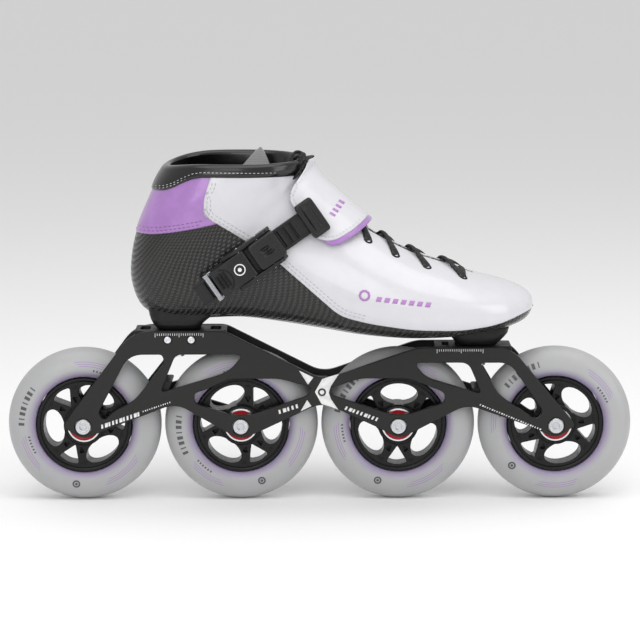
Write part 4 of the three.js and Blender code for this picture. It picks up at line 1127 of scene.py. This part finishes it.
HEEL_LEVELS = [(112.4, -104.2, -77, -13, 13), (112.9, -104.9, -76.4, -13.7, 13.7),
               (115.5, -107, -75.3, -16, 16), (118.5, -108.6, -72, -17, 17),
               (121.5, -109.6, -68, -17, 17), (126, -110.4, -60, -17, 17)]
TOE_LEVELS = [(101.5, 88.8, 113.6, -13, 13.4), (102.1, 88.2, 114.6, -13.7, 14),
              (104.5, 86.6, 117.2, -15.5, 16.5), (107, 84.6, 119.6, -17, 19),
              (109.5, 81.5, 121.6, -18, 21), (113, 76, 122.6, -18, 21)]
flared_block("heel_block", HEEL_LEVELS)
flared_block("toe_block", TOE_LEVELS)
refinish(("insert_heel", "insert_toe"), brass)
print("mounting blocks made")

# %% [markdown]
# ## Strap
#
# The instep strap is two layers of patent leather: white on top, and a lilac one under it that shows
# as a band along the front edge. It stands a few millimetres off the tongue, more over the instep than
# at the side, so the same surface is used with a larger lift. When the ratchet pulls, its outer end
# travels with the toothed strap while the inner end stays sewn down; here the layers are fixed pieces
# that belong to neither body.

# %% Instep strap
STRAP_OUT = [(3, 230), (-9, 212, 6), (-15.6, 204, 5), (-16.8, 197.5, 4), (-8, 184.5, 4), (2.5, 173.4, 6),
             (9.2, 171, 5), (21, 177, 8), (46, 195.5)]
STRAP_IN = [(3, 230), (-42, 196, 6), (-20, 161, 6), (46, 195.5)]
TRIM_OUT = [(1, 232), (-11, 212.6, 6), (-17.4, 204.6, 5), (-18.6, 197.5, 4), (-9, 184, 4), (-1.5, 173.6, 4),
            (8.8, 172.0, 5), (20.8, 178.0, 8), (46, 196.8)]
TRIM_IN = [(1, 232), (-46, 196, 6), (-22, 161, 6), (46, 196.8)]


def strap_layer(name, outer, inner, material, instep, side, thick, nodes=()):
    """A layer of the strap: the sheet at the strap's own lift, cut by one outline outside and one inside."""
    table, triangles = sheet_table(6.5, 16.5, 170, 300)
    p = surface(table[:, 0], table[:, 1], 0, instep, side)
    value = np.where(np.cos(table[:, 1]) < 0, signed_distance(p[:, [0, 2]], rounded(outer)),
                     signed_distance(p[:, [0, 2]], rounded(inner)))
    value = np.minimum(value, 60 * (np.sin(table[:, 1]) + 0.9))
    table, triangles, value = cut(table, triangles, value)
    t = np.clip(value / 1.2, 0, 1)
    drop = 0.5 * (1 - np.sqrt(1 - (1 - t) ** 2))
    points = surface(table[:, 0], table[:, 1], 0, instep - drop, side - drop)
    made = piece(name, points, triangles, material, None, nodes, table[:, 2:4], sharp=0)
    weld(made)
    modifier(made, "SOLIDIFY", thickness=thick * MM, offset=-1)
    return made


strap_white = strap_layer("strap_white", TRIM_OUT, TRIM_IN, white_patent, 9.0, 3.9, 0.9, ["instep_strap"])
BAND_OUT = [(-6, 186), (-4, 179, 3), (2.5, 171.6, 6), (9.6, 168.6, 5), (22, 174.8, 8), (48, 193.5), (42, 204)]
BAND_IN = [(-30, 178), (-20, 158, 6), (48, 193.5), (42, 204)]
strap_lilac = strap_layer("strap_lilac", BAND_OUT, BAND_IN, lilac_patent, 8.2, 3.1, 0.9)
strap_lining = strap_layer("strap_lining", STRAP_OUT, STRAP_IN, lining, 7.4, 2.3, 1.0)
BUCKLE = np.array([-45.5, -38.6, 158.5])
ALONG = np.array([0.817001, 0.121869, 0.563611])
ACROSS = np.array([-0.567844, 0.0, 0.823136])
OUTWARD = np.array([0.100315, -0.992546, 0.069203])
for layer in (strap_white, strap_lilac, strap_lining):
    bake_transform(layer)
print("strap layers:", len(strap_white.data.vertices), len(strap_lilac.data.vertices))

# %% [markdown]
# ## Stitching
#
# A seam is a line drawn in side view a few millimetres inside a panel's edge. The line is walked at a
# steady pitch, and each place is carried onto the surface by Newton steps: small moves of (u, a) until
# the surface point stands at the wanted (x, z). A stitch there is a grain of thread of a few dozen
# faces, laid along the seam and sunk by half.

# %% Rows of stitches
def on_surface(spots, outer, lift):
    """(u, a) whose surface point has the wanted (x, z) on the outer or the inner side."""
    u = np.linspace(0.3, 18.9, 150)
    a = np.linspace(np.pi / 2, 1.5 * np.pi, 90) if outer else np.linspace(-np.pi / 2, np.pi / 2, 90)
    uu, aa = (g.ravel() for g in np.meshgrid(u, a, indexing="ij"))
    table = surface(uu, aa, **lift)[:, [0, 2]]
    near = np.array([np.argmin(np.sum((table - spot) ** 2, 1)) for spot in spots])
    guess = np.stack([uu[near], aa[near]], -1)
    for _ in range(5):
        here = surface(guess[:, 0], guess[:, 1], **lift)[:, [0, 2]]
        du = (surface(guess[:, 0] + 1e-3, guess[:, 1], **lift)[:, [0, 2]] - here) / 1e-3
        da = (surface(guess[:, 0], guess[:, 1] + 1e-3, **lift)[:, [0, 2]] - here) / 1e-3
        flat = du[:, 0] * da[:, 1] - du[:, 1] * da[:, 0]
        flat = np.where(np.abs(flat) < 1e-3, 1e9, flat)
        miss = spots - here
        move = np.stack([miss[:, 0] * da[:, 1] - miss[:, 1] * da[:, 0],
                         du[:, 0] * miss[:, 1] - du[:, 1] * miss[:, 0]], -1) / flat[:, None]
        guess = guess + np.clip(move, -0.3, 0.3)
    return guess


def frame_at(u, a, lift):
    """Point and outward normal of the surface."""
    spot = surface(u, a, **lift)
    du = surface(u + 1e-3, a, **lift) - spot
    da = surface(u, a + 1e-3, **lift) - spot
    normal = np.cross(da, du)
    return spot, normal / np.maximum(np.linalg.norm(normal, axis=-1, keepdims=True), 1e-9)


def walk(line, pitch):
    """Places every `pitch` along an open line, with the line's direction there."""
    line = np.asarray(line, float)
    steps = np.linalg.norm(np.diff(line, axis=0), axis=1)
    total = np.concatenate([[0], np.cumsum(steps)])
    at = np.arange(pitch / 2, total[-1], pitch)
    return np.stack([np.interp(at, total, line[:, k]) for k in (0, 1)], -1)


RINGS = ((-0.7, 0.8), (0, 1), (0.7, 0.8))
CORNERS = np.radians([0, 72, 144, 216, 288])
GRAIN = np.array([(-1, 0, 0), *[(t, r * math.cos(a), r * math.sin(a)) for t, r in RINGS for a in CORNERS],
                  (1, 0, 0)])
NEXT = [(k, (k + 1) % 5) for k in range(5)]
GRAIN_TIPS = [[0, 1 + n, 1 + k] for k, n in NEXT] + [[16, 11 + k, 11 + n] for k, n in NEXT]
GRAIN_SIDES = [[r + k, r + n, r + 5 + n, r + 5 + k] for r in (1, 6) for k, n in NEXT]


def grains(spots, ways, normals, length, radius):
    """Thread grains at spots: their long axis along ways, flattened along the normals."""
    ways = ways / np.maximum(np.linalg.norm(ways, axis=1, keepdims=True), 1e-9)
    beside = np.cross(normals, ways)
    local = GRAIN[None, :, :, None] * np.array([length / 2, radius, radius * 0.7])[None, None, :, None]
    basis = np.stack([ways, beside, normals], 1)[:, None]
    points = spots[:, None] + (local * basis).sum(2)
    first = (np.arange(len(spots)) * len(GRAIN))[:, None, None]
    faces = [(first + np.array(f)[None]).reshape(-1, len(f[0])) for f in (GRAIN_TIPS, GRAIN_SIDES)]
    return points.reshape(-1, 3), faces


def seam_row(line, lift, pitch=2.9, length=2.1, radius=0.27, sides=(True, False), keep=None):
    """Stitches along a side-view line on the outer side, the inner side or both."""
    parts = []
    for outer in sides:
        spots = walk(line, pitch)
        place = on_surface(spots, outer, lift)
        p, normal = frame_at(place[:, 0], place[:, 1], lift)
        ok = np.linalg.norm(p[:, [0, 2]] - spots, axis=1) < 0.4
        if keep:
            ok &= keep(p[:, 0], p[:, 2])
        ways = np.gradient(p, axis=0)
        if ok.sum() > 1:
            parts.append(grains(p[ok], ways[ok], normal[ok], length, radius))
    return parts


def inside_line(outline, depth):
    """The outline moved inwards, as a closed line that can be sliced by x or z."""
    moved = eased(outline, depth, False)
    return np.concatenate([moved, moved[:1]])


white_rows = []
lilac_rows = []
for depth in (2.0, 4.2):
    line = inside_line(WHITE_LINE, depth)
    white_rows += seam_row(line, evenly(1.3), keep=lambda x, z: (x < 30) & (z < 209.5))
    line = inside_line(LILAC_LINE, depth)
    lilac_rows += seam_row(line, evenly(0.8), keep=lambda x, z: (x > -124) & (x < -74) & (z < 190))
piece("upper_stitching", *joined(white_rows), grey_thread, "skate", sharp=0)
piece("heel_panel_stitching", *joined(lilac_rows), purple_thread, "skate", sharp=0)
print("stitches on the panels:", sum(len(p) for p, _ in white_rows + lilac_rows) // len(GRAIN))

# %% [markdown]
# ## Buckle
#
# The ratchet buckle sits on the outer quarter, turned up towards the instep. It is built in its own
# axes: x along the strap, y across it, z away from the boot. A base with two cheeks carries two
# pins; the lever turns on one and drives a toothed strap between the cheeks, the release turns on the
# other and drops its pawl between the teeth. Side profiles are plates; pressed tops are cushions.

# %% Buckle axes and moulded shapes
def on_buckle(points):
    return BUCKLE + np.asarray(points) @ np.stack([ALONG, ACROSS, OUTWARD])


def side_on(outline, low, high, edge=0.3):
    points, faces = plate(rounded(outline), low, high, (), edge)
    return on_buckle(points), faces


def flat_on(outline, low, high, edge=0.3, holes=()):
    points, faces = plate(outline, low, high, holes, edge)
    return on_buckle(lying(points)), [rows[:, ::-1] for rows in faces]


def pin(radius, half, x, z):
    points, faces = turned([(0.01, -half), (radius - 0.2, -half), (radius, 0.2 - half), (radius, half - 0.2),
                            (radius - 0.2, half), (0.01, half)], 28, x, z)
    return on_buckle(points), faces


def box_line(x0, x1, half, cut):
    return rounded([(x0, -half, cut), (x1, -half, cut), (x1, half, cut), (x0, half, cut)])


def cushion(x0, x1, half, low, top, ease, press, power=0.3):
    """A block with a rounded plan and a shaped top: rings climb the side, turn in and close on the middle."""
    turn = np.linspace(0, 2 * np.pi, 112, endpoint=False)[None]
    c, s = np.cos(turn), np.sin(turn)
    cx, cy = np.sign(c) * np.abs(c) ** power, np.sign(s) * np.abs(s) ** power
    bend = np.radians([0, 22, 45, 68, 90])
    inward = np.linspace(ease / half + 0.04, 0.999, 26)
    inset = np.concatenate([[0.999, 0], (1 - np.cos(bend)) * ease / half, inward])
    level = np.concatenate([[low, low], top - ease + ease * np.sin(bend), np.full(26, top)])
    shrink = 1 - inset[:, None]
    x = (x0 + x1) / 2 + (x1 - x0) / 2 * shrink * cx
    y = half * shrink * cy
    z = level[:, None] - np.where(inset[:, None] > 0, press(x, y), 0) * (level[:, None] > top - ease - 1e-6)
    points = np.stack([x, y, z], -1).reshape(-1, 3)
    return on_buckle(points), grid_faces(len(inset), 112, False, True)


def closed(name, shape, material, body, nodes=(), sharp=40):
    points, faces = shape
    if not isinstance(faces, list):
        faces = outward(points, faces)
    made = piece(name, points, faces, material, body, nodes, sharp=sharp)
    weld(made, 0.015)
    return made


WALL = [(-13, 0), (-13, 5, 2), (-4, 10.4, 3), (20, 10.4, 4), (24, 0)]
base = [flat_on(box_line(-22, 24, 9.6, 2), 0, 1.7), side_on(WALL, 9.4, 11.9, 0.5),
        side_on(WALL, -11.9, -9.4, 0.5)]
flats_first(piece("buckle_body", *joined(base), moulded, "skate", ["buckle_base"], sharp=0))
rivet = flat_on(circle(2.5, 32, 6, 0), -0.6, 1.95)
closed("buckle_rivet_head", joined([rivet]), bright_steel, "skate", ["buckle_rivet"])
closed("lever_pin", pin(1.0, 12.2, -1, 7.6), bright_steel, "skate", ["buckle_lever_pin"])
closed("release_pin", pin(1.0, 12.2, 13, 7.9), bright_steel, "skate", ["buckle_release_pin"])

# %% Toothed strap, end plate and keeper
teeth = [side_on([(x, 3.5), (x, 3.8), (x + 2.4, 3.8), (x + 2.4, 5), (x + 2.8, 5), (x + 3, 3.5)], -6.2, 6.2, 0)
         for x in np.arange(-33, 36, 5.0)]
rails = [side_on([(-36.6, 3.4), (-36.6, 4.9, 0.4), (43.6, 4.9, 0.4), (43.6, 3.4)], low, low + 1.3, 0.2)
         for low in (-7.7, 6.4)]
ribbon = [flat_on(box_line(-37, 50, 7.8, 2.2), 2.1, 3.9, 0.3), *rails, *teeth]
flats_first(piece("toothed_strap", *joined(ribbon), moulded, "ladder", ["ladder_strap"], sharp=0))
# Thin black sheets laid between the teeth: painted shade standing for the shadowed slots of the toothed
# strap.
slot_shade_sheets = [flat_on(box_line(x + 3.2, x + 4.8, 5.9, 0.3), 3.86, 3.96, 0) for x in np.arange(-33, 36, 5.0)]
closed("strap_slot_shade", joined(slot_shade_sheets), nylon, "ladder", sharp=0)
closed("strap_end_plate_body", cushion(43.4, 56.2, 12.2, 4.0, 8.6, 1.5, lambda x, y:
                   0.8 * np.exp(-((x - 47) / 0.55) ** 2) + 0.5 * np.exp(-((x - 52.2) / 0.4) ** 2), 0.22),
                   moulded, "ladder", ["strap_end_plate"])
keeper = [side_on([(-28.4, 6.0, 0.3), (-27.8, 7.0, 0.4), (-25.2, 7.0, 0.4), (-25, 6.0, 0.3)], -9.4, 9.4, 0.2)]
keeper += [side_on([(-28.2, 0.4), (-28.2, 6.4, 0.4), (-25.2, 6.4, 0.4), (-25.2, 0.4)], low, low + 1.2, 0.2)
           for low in (-9.4, 8.2)]
keeper.append(flat_on(box_line(-28.4, -22.3, 9.4, 1), 0.2, 1.3))
flats_first(piece("strap_keeper", *joined(keeper), keeper_steel, "skate", ["ladder_keeper"], sharp=0))

# %% Lever and release
LEVER = [(-24, 6.2, 1), (-24, 8.2, 0.5), (-14, 11.6, 3), (1, 10.6, 1.5), (2.2, 8.9), (-1, 6.4), (-14, 8, 2)]
lever_parts = [side_on(LEVER, -9.1, 9.1, 0.6), pin(2.1, 9.0, -1, 7.6),
               side_on([(-3.2, 7), (-2.3, 5.5), (0.2, 6), (1, 7)], -5.8, 5.8, 0.1)]
flats_first(piece("ratchet_lever", *joined(lever_parts), moulded, "lever", ["buckle_lever"], sharp=0))
grip = []
for x, z, half in ((-22.6, 8.8, 4.5), (-20.0, 9.7, 5.4), (-17.4, 10.4, 5.0)):
    rib = [(x, z - 1), (x + 0.4, z + 1.5, 0.2), (x + 1.3, z + 1.7, 0.2), (x + 1.9, z)]
    grip.append(side_on(rib, -half, half, 0.3))
closed("lever_grip_ribs", joined(grip), nylon, "lever")
turn = np.linspace(-0.5 * np.pi, 0.5 * np.pi, 40)
horseshoe = np.concatenate([np.stack([-17.8 + 5.6 * np.cos(turn), 7.6 * np.sin(turn)], -1),
                            np.stack([-17.8 + 4.4 * np.cos(turn[::-1]), 6.4 * np.sin(turn[::-1])], -1)])
points, faces = flat_on(horseshoe, 9.8, 10.6, 0.2)
lift = ((points - BUCKLE) @ ALONG + 17.8) * 0.3
ringed = (points + np.clip(lift, -2.0, 1.0)[:, None] * OUTWARD, faces)
flats_first(piece("lever_grip_edge", *joined([ringed]), nylon, "lever", sharp=0))


def sloped(shape):
    """Follows the gentle fall of the lever's top towards the hinge."""
    points, faces = shape
    return points - (((points - BUCKLE) @ ALONG + 6.6) / 15)[:, None] * OUTWARD, faces


emblem = [sloped(flat_on(circle(3.7, 48, -6.6, 0), 11.0, 11.34, 0, [circle(3.0, 48, -6.6, 0)])),
          sloped(flat_on(circle(1.3, 32, -6.6, 0), 11.0, 11.34, 0))]
closed("lever_emblem", joined(emblem), white_ink, "lever", sharp=0)


def dimples(x, y):
    """Two almond hollows side by side, and a low rim near the outer edge."""
    almond = 0
    for k in (-1, 1):
        along, across = (x - 14.6 + 0.8 * k) / 5, (y - 1.7 * k) / 1.3
        almond = almond + 1.5 * np.clip(1 - along ** 2 - across ** 2, 0, 1)
    return almond + 0.35 * np.exp(-((x - 22.4 + 0.02 * y ** 2) / 0.3) ** 2)


points, faces = cushion(4.6, 24.4, 9.1, 8.9, 12.2, 1.2, dimples, 0.24)
pawl = side_on([(12.6, 6.2), (6, 5.5), (5.2, 6.2), (5, 9.4), (12, 10)], -6, 6, 0.1)
release_parts = [(points, outward(points, faces)), pin(2.1, 9.0, 13, 7.9), pawl]
closed("release_tab", joined(release_parts), moulded, "release", ["buckle_release"], 45)
print("buckle pieces made")

# %% [markdown]
# ## Laces
#
# A flat braided lace, six millimetres wide, comes out of each eyelet, lies over the edge of the upper
# and crosses the tongue to the next eyelet on the other side. A lace is an oval section carried
# along a path of (u, a, lift) places; where it enters an eyelet it dips below the surface. The weave
# is drawn along the piece's own lengths: two sets of slanted strands with grey flecks.

# %% Lace material and paths
def braid():
    """Lace braid: two crossing sets of stripes along the sweep's own uv."""
    material, nodes, shader, coords = new_material("braided_lace")
    across, along, _ = nodes.xyz(coords["UV"])
    down = nodes.math("MULTIPLY", along, 900.0)
    over = nodes.math("MULTIPLY", across, 900.0)
    one = nodes.math("SINE", nodes.math("MULTIPLY", nodes.math("ADD", down, over), math.pi))
    two = nodes.math("SINE", nodes.math("MULTIPLY", nodes.math("SUBTRACT", down, over), math.pi))
    strand = nodes.math("ABSOLUTE", nodes.math("MULTIPLY", one, two))
    fleck = nodes.noise(coords["UV"], 1400.0, 1.0)
    pale = nodes.math("MULTIPLY", nodes.smooth(fleck, 0.52, 0.62), nodes.smooth(strand, 0.25, 0.7))
    nodes.put(shader.inputs["Base Color"], nodes.mix(pale, (0.006, 0.006, 0.006, 1), (0.16, 0.16, 0.165, 1)))
    nodes.put(shader.inputs["Roughness"], nodes.smooth(fleck, 0.2, 0.8, 0.6, 0.85))
    bump(nodes, shader, strand, 1.0, 0.0004)
    return material


lace_braid = braid()


def smooth_path(knots, count):
    """Catmull-Rom curve through the knots, with the ends doubled."""
    knots = np.asarray(knots, float)
    knots = np.concatenate([knots[:1], knots, knots[-1:]])
    t = np.linspace(0, len(knots) - 3 - 1e-6, count)
    k = t.astype(int)
    f = (t - k)[:, None]
    a, b, c, d = knots[k], knots[k + 1], knots[k + 2], knots[k + 3]
    bend, twist = 2 * a - 5 * b + 4 * c - d, 3 * b - a - 3 * c + d
    return 0.5 * (2 * b + (c - a) * f + bend * f ** 2 + twist * f ** 3)


def ribbon_sweep(path, normals, half_width, half_thick, around=14):
    """An oval carried along the path, flat side along the normals; its ends shrink to a point."""
    way = np.gradient(path, axis=0)
    way /= np.linalg.norm(way, axis=1, keepdims=True)
    side = np.cross(way, normals)
    side /= np.linalg.norm(side, axis=1, keepdims=True)
    up = np.cross(side, way)
    turn = np.linspace(0, 2 * np.pi, around, endpoint=False)
    c, s = np.cos(turn), np.sin(turn)
    count = len(path)
    ends = round_ends(count, 3)
    wide = np.broadcast_to(half_width, count) * ends
    thick = np.broadcast_to(half_thick, count) * ends
    points = path[:, None] + side[:, None] * (wide[:, None] * c)[..., None] + up[:, None] * (
        thick[:, None] * np.sign(s) * np.abs(s) ** 0.8)[..., None]
    length = np.concatenate([[0], np.cumsum(np.linalg.norm(np.diff(path, axis=0), axis=1))])
    uv = np.stack(np.broadcast_arrays(2.6 * c[None], length[:, None]), -1).reshape(-1, 2)
    points = points.reshape(-1, 3)
    return points, outward(points, grid_faces(count, around, False, True)), uv


EYELETS = (4.5, 5.65, 6.65, 7.6)
EYELET_OFF = math.radians(31)


def lace_over(start, end, level):
    """Out of an eyelet, over the tongue, and in under the other side's edge: (share of the way, lift)
    pairs, with `level` as the lift at the crossing."""
    (u0, a0), (u1, a1) = start, end
    course = [(0.2, 2.3), (0.5, level), (0.62, level * 0.5 - 0.7), (0.75, -1.4), (0.85, -1.9)]
    knots = [(u0, a0, -1.2), (u0 + 0.03, a0 + (a1 - a0) * 0.03, 1.5)]
    knots += [(u0 * (1 - t) + u1 * t, a0 * (1 - t) + a1 * t, lift) for t, lift in course]
    route = smooth_path(knots, 64)
    lift = evenly(route[:, 2])
    points = surface(route[:, 0], route[:, 1], **lift)
    _, normal = frame_at(route[:, 0], route[:, 1], evenly(0.0))
    along = np.linspace(0, 1, 64)
    return ribbon_sweep(points, normal, 1.9 + 1.3 * np.exp(-((along - 0.07) / 0.22) ** 2), 1.0)


lace_parts = []
for k, u in enumerate(EYELETS):
    ahead = EYELETS[k + 1] if k < 3 else 8.7
    for sign in (1, -1):
        here, there = (u, np.pi / 2 + sign * EYELET_OFF), (ahead, np.pi / 2 - sign * EYELET_OFF)
        lace_parts.append(lace_over(here, there, 3.4 if sign > 0 else 1.7))
lace_parts.append(lace_over((4.5, np.pi / 2 + EYELET_OFF), (4.5, np.pi / 2 - EYELET_OFF), 0.9))
BUNDLE = [[(-19, -17, 207), (-17, -17, 212), (-14, -15, 217), (-10.5, -12, 222), (-11, -8, 225.5),
           (-15, -8, 226), (-18, -11, 222), (-17.5, -15, 216), (-20, -17.5, 209)],
          [(-22, -15, 205), (-20, -18, 209), (-16, -19, 211), (-11.5, -16, 216), (-10, -11, 221),
           (-12, -5, 223)],
          [(-22, 8, 214), (-17, 3, 220), (-13, -2, 223.5), (-10.5, 1, 222), (-11, 6, 217)]]
for knots in BUNDLE:
    path = smooth_path(knots, 70)
    middle = path.mean(0) + [8, 0, -14]
    lace_parts.append(ribbon_sweep(path, path - middle, 2.2, 1.0))
points, faces = joined([part[:2] for part in lace_parts])
uv = np.concatenate([part[2] for part in lace_parts])
weld(piece("boot_laces", points, faces, lace_braid, "skate", ["laces"], uv, 0))
rings = []
for u in EYELETS:
    for sign in (1, -1):
        spot, normal = frame_at(np.array([u]), np.array([np.pi / 2 + sign * EYELET_OFF]), evenly(1.3))
        ring = np.stack([2.3 + 0.75 * np.cos(np.linspace(0, 2 * np.pi, 10, endpoint=False)),
                         0.45 * np.sin(np.linspace(0, 2 * np.pi, 10, endpoint=False))], -1)
        points, faces = turned(ring, 32)
        turn = mathutils.Vector((0, 1, 0)).rotation_difference(mathutils.Vector(normal[0])).to_matrix()
        rings.append((points @ np.array(turn).T + spot[0], faces))
closed("eyelet_rings", joined(rings), nylon, "skate", sharp=0)
print("lace runs:", len(lace_parts), "of points:", sum(len(p[0]) for p in lace_parts))


# %% [markdown]
# The last sewn and printed details: stitches round the strap and the collar, a webbing pull tab inside
# the far side of the collar, and lilac marks on the toe and the strap. The marks are a ring and slanted
# bars: films of ink carried onto the surface like the stitches, so that they follow its curve.

# %% Strap and collar stitches, pull tab, marks
STRAP_LIFT = {"sole": 0.0, "instep": 9.05, "side": 3.95}
strap_rows = seam_row(inside_line(rounded(TRIM_OUT), 2.0), STRAP_LIFT, 2.4, 1.6, 0.22, (True,),
                      lambda x, z: (z < 211) & (x < 33))
strap_rows += seam_row(inside_line(rounded(TRIM_IN), 2.0), STRAP_LIFT, 2.4, 1.6, 0.22, (False,),
                       lambda x, z: (z < 207) & (x < 33))
strap_thread = piece("strap_stitching", *joined(strap_rows), grey_thread, None, sharp=0)
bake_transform(strap_thread)
low_edge = np.array([(-118, 200.4), (-98, 203.2), (-92, 205.4), (-86, 208.6), (-80, 211.2),
                     (-74, 212.3), (-20, 211.5)])
collar_rows = seam_row(low_edge + [0, 1.9], evenly(1.95), 2.6, 1.7, 0.22)
collar_rows += seam_row(low_edge + [0, 3.3], evenly(2.15), 2.6, 1.7, 0.22)
piece("collar_stitching", *joined(collar_rows), white_thread, "skate", sharp=0)

webbing = fabric("grey_webbing", (0.3, 0.3, 0.31), (0.66, 0.66, 0.66), 0.0011, 0.2, 0.7)
tab_line = rounded([(-51, 214), (-31, 214), (-36.6, 227, 2.5), (-39.4, 227, 2.5)])
points, faces = plate(tab_line, 22.0, 23.6, (), 0.5)
flats_first(piece("pull_tab_webbing", points, faces, webbing, "skate", ["pull_tab"], points[:, [0, 2]], 0))


def film(corners, outer, lift, rows=4, cols=9):
    """A four-cornered film of ink: corners in side view, filled evenly, carried onto the surface."""
    a, b, c, d = (np.array(p, float) for p in corners)
    i, j = np.linspace(0, 1, rows)[:, None, None], np.linspace(0, 1, cols)[None, :, None]
    spots = ((1 - i) * ((1 - j) * a + j * b) + i * ((1 - j) * d + j * c)).reshape(-1, 2)
    place = on_surface(spots, outer, lift)
    top, normal = frame_at(place[:, 0], place[:, 1], lift)
    points = np.concatenate([top, top - 0.12 * normal])
    upper = grid_faces(rows, cols)
    count = rows * cols
    grid = np.arange(count).reshape(rows, cols)
    edge = np.concatenate([grid[0], grid[1:, -1], grid[-1, -2::-1], grid[-2:0:-1, 0]])
    wall = np.stack([edge, edge + count, np.roll(edge, -1) + count, np.roll(edge, -1)], -1)
    faces = np.concatenate([upper, upper[:, ::-1] + count, wall])
    inward = np.cross(points[upper[0, 1]] - points[upper[0, 0]], points[upper[0, 2]] - points[upper[0, 0]])
    return points, faces if inward @ normal[0] > 0 else faces[:, ::-1]


def ring_films(x, z, outside, inside, outer, lift, count=10):
    turn = np.linspace(0, 2 * np.pi, count + 1)
    rim = np.stack([x + outside * np.cos(turn), z + outside * np.sin(turn)], -1)
    core = np.stack([x + inside * np.cos(turn), z + inside * np.sin(turn)], -1)
    return [film((rim[k], rim[k + 1], core[k + 1], core[k]), outer, lift, 2, 4) for k in range(count)]


lilac_ink = plain("lilac_ink", (0.42, 0.2, 0.5), 0.25, 0.4, 900, 0.0, 0.01)
marks = []
for outer in (True, False):
    marks += ring_films(28.6, 138.2, 3.7, 2.2, outer, evenly(1.33))
    marks += [film(c, outer, evenly(1.33)) for c in slanted((35.6, 134.6), (66.5, 131.2), 7, 3.1, 3.0, 0.9)]
piece("toe_marks", *joined(marks), lilac_ink, "skate", sharp=0)
marks = [film(c, True, {"sole": 0.0, "instep": 9.1, "side": 4.0}) for c in
         slanted((6.6, 188.8), (12.4, 195.6), 4, 1.3, -3.8, 0.6)]
strap_ink = piece("strap_marks", *joined(marks), lilac_ink, None, sharp=0)
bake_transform(strap_ink)
refinish([f"spacer_{i}" for i in (1, 2, 3, 4)], turned_aluminium)
print("films of ink:", len(marks))

# %% [markdown]
# ## Studio
#
# The skate stands on a plain pale floor that runs far back, so that it fills the view behind the skate.
# One broad light overhead gives the long highlights on the patent leather, a second one from the front
# opens the shadows between the wheels, and an even pale world fills the rest.

# %% Floor and light
floor = bpy.data.meshes.new("floor")
floor.from_pydata([(-30, -6, 0), (30, -6, 0), (30, 60, 0), (-30, 60, 0)], [], [(0, 1, 2, 3)])
floor = bpy.data.objects.new("floor", floor)
bpy.context.scene.collection.objects.link(floor)
floor.location = (0, 0, 0)
matt, nodes, shader, coords = new_material("studio_floor")
grain = nodes.noise(coords["Object"], 300.0, 2.0)
nodes.put(shader.inputs["Roughness"], nodes.smooth(grain, 0.0, 1.0, 0.8, 0.95))
nodes.put(shader.inputs["Base Color"], nodes.mix(grain, (0.91, 0.91, 0.91, 1), (0.94, 0.94, 0.94, 1)))
floor.data.materials.append(matt)


def area_light(name, place, aim, size, power):
    """A rectangular light at a place in metres, turned to look at a point of the skate."""
    data = bpy.data.lights.new(name, "AREA")
    data.shape = "RECTANGLE"
    data.size, data.size_y = size
    data.energy = power
    light = bpy.data.objects.new(name, data)
    bpy.context.scene.collection.objects.link(light)
    light.location = place
    way = mathutils.Vector(aim) - mathutils.Vector(place)
    light.rotation_euler = way.to_track_quat("-Z", "Y").to_euler()


area_light("overhead", (0.1, -0.35, 1.5), (0, 0, 0.1), (1.8, 1.4), 12)
area_light("front", (-0.5, -1.9, 0.9), (0, 0, 0.12), (1.2, 1.2), 9)
area_light("toe_side", (1.5, -0.7, 0.7), (0, 0, 0.12), (0.8, 1.0), 5)
world = bpy.data.worlds.new("studio")
bpy.context.scene.world = world
world.use_nodes = True
world.node_tree.nodes["Background"].inputs["Color"].default_value = (1, 1, 1, 1)
world.node_tree.nodes["Background"].inputs["Strength"].default_value = 0.68
bpy.context.scene.view_settings.view_transform = "Standard"
